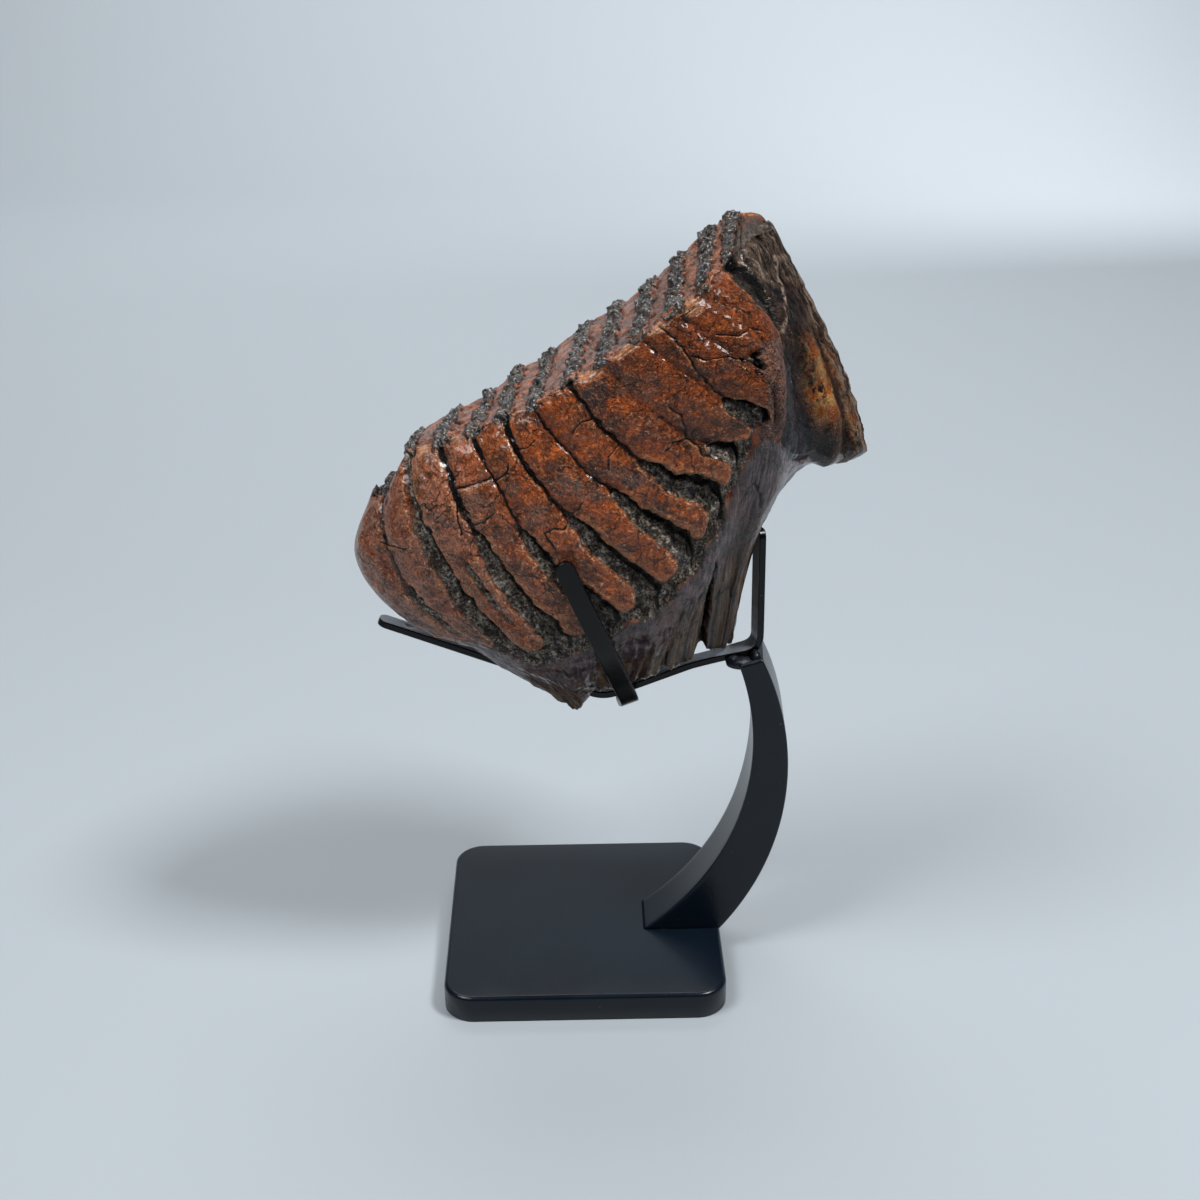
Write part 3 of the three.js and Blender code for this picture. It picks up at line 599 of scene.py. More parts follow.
def fossil_material(look):
    """Varnished fossil. Masks baked into the mesh say where the grooves, the worn enamel, the
    root and the end face are; noises break their borders and give each its own grain."""
    material, graph = new_material("varnished_fossil")
    noise, mask, mix, painted = graph.noise, graph.mask, graph.mix, graph.painted
    place = graph.place()
    plate, height, relief = mask("plate"), mask("height"), mask("relief")
    # real distances along and down the tooth, for fibres that run down the plates; on the end
    # face the plate number hardly changes, so the place across the tooth joins in
    across = graph.value("ShaderNodeSeparateXYZ", {"Vector": place}, "Y") * plate.step(12.3, 12.7)
    along = graph.vector(plate * PLATE_PITCH, height * TOOTH_DEPTH, across)

    broad = noise(place, 0.012, detail=5, roughness=0.6, distortion=0.5)
    middle = noise(place, 0.0046, detail=5, roughness=0.62)
    small = noise(place, 0.0019, detail=3, roughness=0.6)
    grain = noise(place, 0.0005, detail=2, roughness=0.65)
    fibre = noise(graph.stretched(along, (1, 0.12, 1)), 0.0011, detail=4, roughness=0.65)
    column = noise(graph.stretched(along, (1, 0.1, 1)), 0.0032, detail=3, roughness=0.6)
    strand = noise(graph.stretched(along, (1, 0.4, 1)), 0.0014, detail=4, roughness=0.7,
                   distortion=0.8)
    stroke = noise(graph.stretched(along, (1, 0.35, 1)), 0.0007, detail=3, roughness=0.7)
    streak = noise(graph.stretched(along, (0.25, 1, 1)), 0.0009, detail=3, roughness=0.7)
    wrinkle = abs(noise(place, 0.0034, detail=3, roughness=0.5, distortion=1.4) - 0.5)
    glitter = noise(place, 0.0009, detail=2)
    edge_break = noise(place, 0.0024, detail=4) * 0.9 - 0.45

    def spread(label, low, high):
        """A mask with a broken edge, eased between low and high."""
        return (mask(label) + edge_break).step(low, high)

    # cementum: chocolate, red brown, orange and dull mauve patches, the mauve partly a painted
    # sheen. middle, stroke, grain and wrinkle also shape the bumps, and their lighter tones go on
    # the highs and their darker ones in the lows: partly the grain's own colour, partly painted
    # highlight and shade.
    pale_and_highlight = spread("pale_and_highlight", 0.4, 0.8)
    mauve_and_sheen = (mask("mauve_and_sheen") + (broad * -2.2 + 0.95) + edge_break).step(0.1, 0.8)
    rust = (mask("rust") + (broad * 1.6 - 1.0) + edge_break).step(0.1, 0.8)
    corner_colour = painted(mix(grain.step(0.42, 0.58), (54, 32, 26), (168, 118, 98)),
                            (middle.step(0.48, 0.6), 0.5, (70, 40, 32)))
    colour = painted(
        mix(broad.step(0.42, 0.56), look.chocolate, look.cementum),
        (middle.step(0.5, 0.64), 0.8, look.amber),
        (middle.step(0.44, 0.3), 0.5, (50, 26, 16)),
        (mauve_and_sheen, 0.8, look.mauve_and_sheen),
        (rust, 1, mix(small.step(0.4, 0.6), (120, 54, 10), look.rust)),
        (spread("grey", 0.35, 0.8), 0.75, (52, 54, 60)),
        (pale_and_highlight, 0.8, look.pale_and_highlight),
        # a deeper, darker orange on the upper back plates: partly their own colour, partly painted
        # shade
        (plate.step(6.5, 9.0) * height.step(0.75, 0.6), 0.6, (98, 40, 4)),
        # a painted pinkish tan sheen over patches of the front plates
        (plate.step(5.2, 2.4) * middle.step(0.38, 0.55), 0.55, (172, 130, 112)),
        (small.step(0.54, 0.66), 0.4, (208, 112, 48)),
        (small.step(0.44, 0.34), 0.4, (44, 22, 12)),
        (stroke.step(0.54, 0.66), 0.42, (232, 150, 92)),
        (stroke.step(0.46, 0.34), 0.42, (44, 20, 10)),
        (grain.step(0.44, 0.34), 0.4, (26, 13, 7)),
        (spread("corner", 0.35, 0.65), 1, corner_colour),
        (wrinkle.step(0.02, 0.004), 0.45, (24, 12, 8)),
    )

    # root: purple brown with scratches, and columns of olive and red brown in its fringe
    root = spread("root", 0.35, 0.65)
    fringe_colour = painted(mix(column.step(0.42, 0.56), (74, 36, 24), (136, 108, 72)),
                            (column.step(0.42, 0.34), 1, (14, 10, 9)))
    root_colour = painted(
        mix(middle.step(0.38, 0.6), (46, 30, 32), (122, 96, 98)),
        (broad.step(0.5, 0.6), 0.8, (96, 56, 38)),
        ((edge_break * 0.1 + height).step(0.86, 0.93), 0.85, fringe_colour),
        (fibre.step(0.48, 0.3), 0.75, (18, 12, 12)),
        (fibre.step(0.54, 0.68), 0.6, (150, 126, 116)),
        # a painted blue grey sheen on the back of the root, above its fringe
        (plate.step(8.0, 9.5) * height.step(0.93, 0.8) * fibre.step(0.4, 0.6),
    0.5, (148, 142, 150)),
    )

    # end face: near black, with a painted blue grey sheen, ochre patches and pale layers down its
    # outer edge
    face = spread("end_face", 0.4, 0.6)
    ochre = (small.step(0.43, 0.52) | column.step(0.46, 0.54)) * mask("ochre")
    face_colour = painted(
        mix(column.step(0.4, 0.62), (12, 8, 6), (56, 34, 25)),
        (plate.step(12.35, 12.1) * height.step(0.35, 0.5), 0.8, (40, 42, 50)),
        (fibre.step(0.53, 0.68), 0.6, (124, 96, 78)),
        (ochre, 1, mix(middle.step(0.42, 0.58), (190, 98, 26), (204, 150, 88))),
        (plate.step(12.72, 12.9) * fibre.step(0.46, 0.58), 1, (150, 124, 102)),
    )

    # frayed end of the last plate: grey brown fibres
    frayed = spread("frayed", 0.4, 0.65)
    frayed_colour = painted(
        mix(fibre.step(0.42, 0.58), (14, 10, 8), (104, 84, 70)),
        (fibre.step(0.58, 0.68), 0.8, (184, 164, 146)),
        (grain.step(0.56, 0.7), 0.6, (170, 150, 132)),
    )

    # chewing surface: terracotta flats and raised dark enamel with painted glints
    flat_colour = painted(
        mix(middle.step(0.4, 0.6), (108, 58, 38), (182, 106, 70)),
        (broad.step(0.5, 0.42), 0.6, (74, 60, 56)),
        (grain.step(0.53, 0.66), 0.7, (230, 178, 142)),
        (grain.step(0.48, 0.3), 0.6, (40, 22, 16)),
        (pale_and_highlight, 0.8, look.pale_and_highlight),
        (plate.step(12.1, 12.35), 0.7, (62, 44, 36)),
    )
    enamel = spread("enamel", 0.42, 0.52)
    enamel_colour = painted(
        mix(small.step(0.4, 0.58), (22, 20, 19), (116, 104, 98)),
        (middle.step(0.5, 0.64), 0.6, (96, 76, 60)),
        (broad.step(0.52, 0.6), 0.45, (72, 78, 88)),
        (glitter.step(0.57, 0.66), 0.9, (222, 220, 212)),
        (grain.step(0.46, 0.34), 0.8, (8, 8, 8)),
    )
    stain_colour = mix(small.step(0.42, 0.58), (150, 74, 18), (228, 150, 78))

    # grooves: a gritty grey floor, painted shadow, near black, along each trench, and painted
    # glints along one edge of each groove
    opening = mask("opening")
    beside = graph.math("WRAP", plate, 0.5, -0.5) * mask("pitch")
    away = abs(beside)
    floor = spread("gravel", 0.35, 0.55)
    grit = graph.blend(0.5, strand, noise(place, 0.0008, detail=3, roughness=0.7))
    grit_colour = painted(
        mix(grit.step(0.42, 0.54), (48, 39, 32), (172, 156, 138)),
        (middle.step(0.52, 0.62), 0.7, (72, 78, 90)),
        (broad.step(0.5, 0.42), 0.6, (60, 40, 28)),
        (grit.step(0.53, 0.6), 0.9, (240, 228, 214)),
        (middle.step(0.5, 0.4), 0.75, (22, 18, 16)),
        (height.step(0.36, 0.26) * plate.step(3.5, 4.5), 0.8, (14, 11, 10)),
    )
    rim = abs(away - (opening + 0.5)).step(0.6, 0.1)
    rim = rim * opening.step(0.35, 0.8) * beside.step(0.4, -0.6)
    flecks = noise(place, 0.0013, detail=2).step(0.5, 0.62)

    # cracks: a black line with a lit lip on one side, and a net of hairs on some parts
    narrow = opening.step(0.1, 0.25) * opening.step(1.6, 1.2)
    narrow = narrow * (opening * 0.8 - away).step(-0.12, 0.1)
    crack = mask("crack") + (small * 0.3 - 0.15)
    shown = 1 - (floor | face | enamel | frayed)
    crown = shown * (1 - root)
    line = abs(crack).step(0.34, 0.16) * mask("near_crack") | narrow | crazing(graph, place) * 0.8
    line = line * shown
    lip = crack.step(0.3, 0.45) * crack.step(1.1, 0.6) * mask("near_crack") * small.step(0.38, 0.55)

    # last, painted shade darkens the crevices and hollows, and painted highlights, glints and
    # sparkle lighten the crests of the crown
    high = relief + edge_break
    glints = noise(place, 0.0007, detail=2).step(0.64, 0.72) * high.step(-0.1, 0.4)
    sparkle = stroke.step(0.56, 0.66) * high.step(-0.25, 0.4) * crown * plate.step(9.8, 8.0)
    colour = painted(
        colour,
        (root, 1, root_colour),
        (face, 1, face_colour),
        (frayed, 1, frayed_colour),
        (spread("chew", 0.4, 0.7) * (1 - frayed), 1, flat_colour),
        (enamel, 1, enamel_colour),
        # painted shade in the crevices beside the enamel ridges
        (mask("crevice").step(0.25, 0.6), 0.85, (15, 11, 10)),
        ((mask("stain") + edge_break).step(0.4, 0.9), 1, stain_colour),
        (floor, 1, grit_colour),
        # painted shadow, near black, along each groove's trench
        (mask("trench").step(0.25, 0.7), 0.9, (10, 8, 7)),
        # painted glints along one edge of each groove
        (rim * (1 - floor) * flecks, 0.85, (244, 200, 160)),
        (lip * crown, 0.6, look.pale_and_highlight),
        (line, 1, (10, 6, 5)),
        # painted glints on the crests, painted shade in the hollows, a painted highlight on the
        # crests and painted sparkle
        (glints, 0.55, (244, 206, 172)),
        (relief.step(-0.15, -0.8) * (floor * -0.85 + 1.0), 0.8, (12, 8, 7)),
        (relief.step(0.15, 0.6) * crown, 0.28, look.pale_and_highlight),
        (sparkle, 0.35, (250, 206, 170)),
        # painted highlight streaks on the pale lips
        (streak.step(0.5, 0.62) * pale_and_highlight * (1 - enamel), 0.8, (236, 196, 170)),
        (mask("ledge").step(0.3, 0.8) * small.step(0.4, 0.56), 0.8, (200, 168, 148)),
        # painted shade, near black, in the pits and the root's slots
        (spread("pit", 0.45, 0.7), 0.95, (7, 5, 5)),
    )

    roughness = graph.blend(grain.step(0.4, 0.62), 0.5, 0.2)
    roughness = graph.blend(root, roughness, graph.blend(fibre, 0.3, 0.46))
    roughness = graph.blend(enamel, roughness, graph.blend(grain.step(0.45, 0.65), 0.5, 0.16))
    roughness = graph.blend(floor, roughness, graph.blend(grit.step(0.4, 0.6), 0.7, 0.24))
    normal = None
    for form, depth in (
        (middle, 0.0016),
        (wrinkle.step(0.0, 0.05), 0.0005),
        (graph.blend(0.5, grain, stroke), 0.0018),
        (fibre * (root | face | frayed), 0.0012),
        (grit * (floor | enamel), 0.003),
        (1 - line, 0.0006),
    ):
        normal = graph.bump(form, depth, normal)
    varnish = graph.blend(root, graph.blend(plate.step(8.5, 10.5), 0.45, 0.2), 0.8)
    varnish = varnish * (floor * -0.7 + 1.0)
    finish_material(graph, {"Specular IOR Level": 0.2, "Coat Roughness": 0.15}, Base_Color=colour,
                    Roughness=roughness, Normal=normal, Coat_Weight=varnish)
    return material


# --- the molar's surface ---

def plate_samples():
    """Even samples along the tooth, packed closer at the rounded front end and the last line."""
    even = np.linspace(0, LAST, STEPS_PER_PLATE * LAST + 1)
    return np.unique(np.concatenate([even, FRONT_SAMPLES, LAST - BACK_SAMPLES]))


def plate_point(k, t):
    """x and z of plate line k at station t in the tooth's middle plane, for whole arrays. The
    last lines turn a sharp corner at the crown's lower edge, where the tooth is broken."""
    down = np.swapaxes(curve(LINES, PLATE_LINES, k), 0, 1)
    corner = int(np.argmin(np.abs(STATIONS - CROWN_EDGE)))
    crown = curve(STATIONS[:corner + 1], down[:corner + 1], np.minimum(t, CROWN_EDGE))
    root = curve(STATIONS[corner:], down[corner:], np.maximum(t, CROWN_EDGE))
    broken = np.where((t <= CROWN_EDGE)[:, None, None], crown, root)
    sharp = smooth(12.1, 12.8, k)[None, :, None]
    grid = curve(STATIONS, down, t)
    return np.swapaxes(grid + sharp * (broken - grid), 0, 1)


def skin_y(k, t):
    """Y of the near and the far skin. The half thickness at each line is a quarter ellipse
    over the front lines, and the far one turns in over the last lines. The profile down the
    tooth scales it, less a part that narrows the tooth towards its chewing edge."""
    nose = np.sqrt(1 - (1 - np.clip(k / NOSE_LINES, 0, 1)) ** 2)
    near = np.where(k < NOSE_LINES, NOSE_NEAR * nose, curve(LINES, SIDE_NEAR, k))
    far = np.where(k < NOSE_LINES, NOSE_FAR * nose, curve(LINES, SIDE_FAR, k))
    turn = np.clip((k - TURN_LINE) / (LAST - TURN_LINE), 0, 1)
    end = SIDE_FAR[-1]
    far = np.where(k > TURN_LINE, end + (TURN_FAR - end) * np.sqrt(1 - turn**2), far)
    share = curve(STATIONS, PROFILE, t)[None, :]
    to_edge = np.clip(1 - t / STATIONS[1], 0, 1)[None, :] ** 2
    near_share = share - (PROFILE[0] - curve(LINES, CHEW_NEAR, k))[:, None] * to_edge
    far_share = share - (PROFILE[0] - curve(LINES, CHEW_FAR, k))[:, None] * to_edge
    return -near[:, None] * near_share, far[:, None] * far_share


def side_surfaces(k, t):
    """Points of the near and far side: the plate lines pushed out to the skin's y, leaning by
    SKEW, with the far side lifted towards the chewing edge."""
    middle = plate_point(k, t)
    near_y, far_y = skin_y(k, t)
    lift = curve(LINES, LIFT, k)[:, None] * (1 - t)[None, :] * (far_y - near_y) / LIFT_WIDTH
    near = np.stack([middle[..., 0] + SKEW * near_y, near_y, middle[..., 1]], -1)
    far = np.stack([middle[..., 0] + SKEW * far_y, far_y, middle[..., 1] + lift], -1)
    return near, far


def tooth_rings(k):
    """Closed rings round the tooth: down the near side, across below, up the far side and
    back across the chewing surface. Returns points, stations, kinds and shares across."""
    t = np.linspace(0, 1, SIDE_ROWS)
    near, far = side_surfaces(k, t)
    # where both sides meet, at the first and last line, they use the same rows
    for end in (0, -1):
        near[end] = np.repeat(near[end, ::FAR_STEP], FAR_STEP, axis=0)[:SIDE_ROWS]
    far, far_t = far[:, ::-FAR_STEP], t[::-FAR_STEP]
    part = np.linspace(0, 1, UNDER_ROWS + 2)[1:-1]
    low = near[:, -1:, :] + (far[:, :1, :] - near[:, -1:, :]) * part[None, :, None]
    hollow = ROOT_HOLLOW["depth"] * smooth(ROOT_HOLLOW["first"], ROOT_HOLLOW["first"] + 2, k)
    hollow = hollow * (1 - smooth(ROOT_HOLLOW["last"] - 1, ROOT_HOLLOW["last"], k))
    low[..., 2] += hollow[:, None] * np.sin(np.pi * part)[None, :]
    cross = np.linspace(0, 1, CHEW_ROWS + 2)[1:-1]
    top = far[:, -1:, :] + (near[:, :1, :] - far[:, -1:, :]) * cross[None, :, None]
    points = np.concatenate([near, low, far, top], axis=1)
    station = np.concatenate([t, np.ones(UNDER_ROWS), far_t, np.zeros(CHEW_ROWS)])
    kind = np.repeat(["near", "under", "far", "chew"], [len(t), UNDER_ROWS, len(far_t), CHEW_ROWS])
    share = np.concatenate([np.zeros(len(t) + UNDER_ROWS + len(far_t)), cross])
    return points, station, kind, share


def soften_corners(points, kind):
    """Rounds the chewing edges and the root's rim: points close to a change of kind take the
    mean with their neighbours round the ring, a few times."""
    change = kind != np.roll(kind, 1)
    wrapped = np.concatenate([change[-6:], change, change[:6]])
    close = np.convolve(wrapped, np.ones(11), "same")[6:-6] > 0
    weight = (close * 1.0)[None, :, None]
    for _ in range(SOFTEN_ROUNDS):
        mean = (np.roll(points, 1, axis=1) + 2 * points + np.roll(points, -1, axis=1)) / 4
        points = points + weight * (mean - points)
    return points


def ring_normals(points, k):
    """Outward directions of the rings' surface, and the distance between plate lines there."""
    along = np.gradient(points, k, axis=0)
    around = np.roll(points, -1, axis=1) - np.roll(points, 1, axis=1)
    normal = np.cross(around, along)
    length = np.linalg.norm(normal, axis=-1, keepdims=True)
    return normal / np.maximum(length, 1e-9), np.linalg.norm(along, axis=-1)


def crack_distance(k, t, pitch, rise, cracks):
    """Signed distance in millimetres from each point to the nearest crack, negative on one
    side and positive on the other. pitch and rise are the sizes of one line and one station."""
    nearest = np.full(k.shape, 99.0)
    for crack in cracks:
        for (k0, t0), (k1, t1) in zip(crack, crack[1:]):
            run, drop = (k1 - k0) * pitch, (t1 - t0) * rise
            x, y = (k - k0) * pitch, (t - t0) * rise
            part = np.clip((x * run + y * drop) / np.maximum(run**2 + drop**2, 1e-6), 0, 1)
            away = np.hypot(x - part * run, y - part * drop)
            side = np.where(run * y - drop * x < 0, -1, 1)
            nearest = np.where(away < np.abs(nearest), side * away, nearest)
    return nearest


def groove_shape(grooves, k, t, pitch, wander, fray):
    """Depth of all grooves at each point: steep walls down to a filled floor, and a narrow
    trench that wanders along the floor's back side. fray widens and narrows them. Returns the
    depth, the half width of the groove and the trench's share at each point."""
    depth = np.zeros(pitch.shape)
    trenches = np.zeros(pitch.shape)
    half_nearest = np.zeros(pitch.shape)
    for line, stops in grooves:
        station, half, deep = np.array(stops).T
        half_here = np.interp(t, station, half)[None, :] * np.ones_like(pitch)
        inside = (t >= station[0])[None, :] & (t <= station[-1])[None, :]
        deep_here = np.interp(t, station, deep)[None, :] * inside
        offset = (k - line) * pitch
        half_here = half_here + fray * smooth(0.5, 1.4, half_here)
        away = np.abs(offset)
        floor = FLOOR_SHARE * (1 - smooth(0.75 * half_here, half_here + 0.35, away))
        across = offset / (half_here + 0.2) - 0.62 + 0.4 * wander
        trench = TRENCH_SHARE * bell(across, 0, 0.3)
        wide = smooth(0.6, 1.4, half_here)
        within = away < half_here + 0.3
        depth = np.maximum(depth, deep_here * (floor + (trench - 0.25) * wide * within))
        depth = np.maximum(depth, 0)
        nearest = (np.abs(k - line) < 0.5) & inside
        half_nearest = np.where(nearest, half_here, half_nearest)
        trenches = np.maximum(trenches, trench * wide * inside * smooth(0.4, 1.4, deep_here))
    return depth, half_nearest, trenches


def far_grooves():
    """Grooves of the far side, each opening at a height and to a width of its own."""
    made = []
    for line in LINES[1:-1]:
        start = FAR_OPEN + FAR_OPEN_SWING * math.sin(FAR_OPEN_RATE * line)
        half = FAR_HALF + FAR_HALF_SWING * math.sin(FAR_HALF_RATE * line)
        stops = [(0, 0.4, 0.6), (start, 0.5, 0.8), (start + 0.08, half, 2.9), (0.7, half, 3.2),
                 (0.78, 2, 0)]
        made.append((line, stops))
    return made


def spots(k, t, places):
    """A soft mask: the highest of some bell-shaped spots, each (line, station, half length
    along the tooth in lines, half height in stations, strength)."""
    mask = np.zeros(np.broadcast(k, t).shape)
    for line, station, wide, tall, strength in places:
        reach = ((k - line) / wide) ** 2 + ((t - station) / tall) ** 2
        mask = np.maximum(mask, strength * np.exp(-reach))
    return mask


# spots of colour on the sides
SIDE_SPOTS = {
    "rust": [
        (8.5, 0.5, 0.35, 0.1, 1.0), (9.5, 0.5, 0.4, 0.08, 1.0), (10.5, 0.2, 0.45, 0.12, 0.7),
        (7.6, 0.42, 0.4, 0.1, 0.35), (6.5, 0.62, 0.25, 0.1, 0.7), (5.5, 0.66, 0.3, 0.07, 0.6),
        (4.5, 0.66, 0.3, 0.07, 0.6), (2.5, 0.66, 0.35, 0.06, 1.0), (2.4, 0.45, 0.25, 0.12, 0.7),
        (1.5, 0.4, 0.3, 0.08, 0.5), (4.3, 0.1, 0.2, 0.06, 0.9), (3.5, 0.62, 0.25, 0.08, 0.6),
        (1.5, 0.05, 0.25, 0.05, 0.7), (11.1, 0.15, 0.4, 0.1, 0.7),
    ],
    "grey": [
        (5.9, 0.06, 0.18, 0.04, 0.9), (7.4, 0.1, 0.35, 0.05, 1.4), (8.1, 0.06, 0.4, 0.03, 1.3),
        (1.1, 0.32, 0.2, 0.05, 1.3), (5.6, 0.28, 0.3, 0.06, 0.35), (10.4, 0.08, 0.2, 0.04, 0.5),
    ],
    "pale_and_highlight": [
        (7.6, 0.0, 0.4, 0.06, 1.5), (8.6, 0.0, 0.4, 0.05, 1.4), (9.5, 0.0, 0.35, 0.06, 1.4),
        (10.4, 0.02, 0.35, 0.07, 1.4), (3.5, 0.0, 0.3, 0.05, 0.7), (2.5, 0.0, 0.4, 0.06, 0.8),
        (6.5, 0.0, 0.4, 0.03, 0.6), (5.5, 0.0, 0.3, 0.03, 0.5), (9.6, 0.735, 0.25, 0.02, 0.9),
    ],
    "mauve_and_sheen": [
        (11.3, 0.6, 0.3, 0.2, 1.0), (8.3, 0.2, 0.5, 0.08, 0.9), (8.0, 0.33, 0.35, 0.06, 0.6),
        (4.5, 0.3, 0.3, 0.08, 0.7), (3.4, 0.2, 0.3, 0.06, 0.6), (5.6, 0.33, 0.3, 0.1, 0.8),
        (9.6, 0.36, 0.3, 0.05, 0.8), (10.6, 0.32, 0.3, 0.06, 0.9), (2.4, 0.25, 0.3, 0.06, 0.6),
        (0.7, 0.5, 0.3, 0.15, 0.8), (6.5, 0.4, 0.3, 0.08, 0.7),
    ],
}
# pits, and ochre patches of the end face
PIT_SPOTS = [
    (12.08, 0.02, 0.14, 0.028, 1.2), (10.45, 0.37, 0.2, 0.018, 1.0), (10.12, 0.43, 0.1, 0.03, 1.0),
]
OCHRE_SPOTS = [
    (12.62, 0.46, 0.2, 0.1, 1.0), (12.5, 0.56, 0.2, 0.07, 1.0), (12.75, 0.66, 0.16, 0.06, 0.8),
]
# orange stain on the apex, by line and share across from the far edge
APEX_STAIN = [(12.45, 0.05, 0.2, 0.13, 1.25)]


def spine_top(x):
    """Height of the long strip's upper face at x, along its low run."""
    route = np.array(SPINE_ROUTE)[:4]
    return np.interp(x, route[:, 0], route[:, 1]) + STRIP_THICKNESS / 2


def clear_of_cradle(points):
    """Keeps the tooth clear of the strips: it rises in a shallow roof over the long strip, and
    stays left of its leg and behind the prongs."""
    x, y, z = points[..., 0], points[..., 1], points[..., 2]
    beside = np.maximum(0, np.abs(y - SPINE_Y) - ROOF["half"])
    roof = spine_top(x) + CLEARANCE + ROOF["gap"] - ROOF["fall"] * beside
    z = np.where(x < ROOF["end"], np.maximum(z, roof), z)
    before_leg = np.abs(y - SPINE_Y) < STRIP_WIDTH / 2 + CLEARANCE
    before_leg &= (z < LEG["top"]) & (x > LEG["from"])
    leg_face = LEG["face"] + LEG["foot"] * (1 - smooth(LEG["low"], LEG["high"], z))
    x = np.where(before_leg, np.minimum(x, leg_face - CLEARANCE), x)
    in_height = (z > BEHIND_PRONG["low"]) & (z < BEHIND_PRONG["high"])
    for route, side in zip(prong_paths(), (-1, 1)):
        order = np.argsort(route[:, 2])
        at = np.clip(z, route[:, 2].min(), route[:, 2].max() + 3)
        centre_x = np.interp(at, route[order, 2], route[order, 0])
        centre_y = np.interp(at, route[order, 2], route[order, 1])
        limit = centre_y * side - STRIP_THICKNESS / 2 - CLEARANCE - BEHIND_PRONG["gap"]
        under = (np.abs(x - centre_x) < STRIP_WIDTH / 2 + BEHIND_PRONG["past"]) & in_height
        y = np.where(under & (y * side > limit), limit * side, y)
    return np.stack([x, y, z], -1)


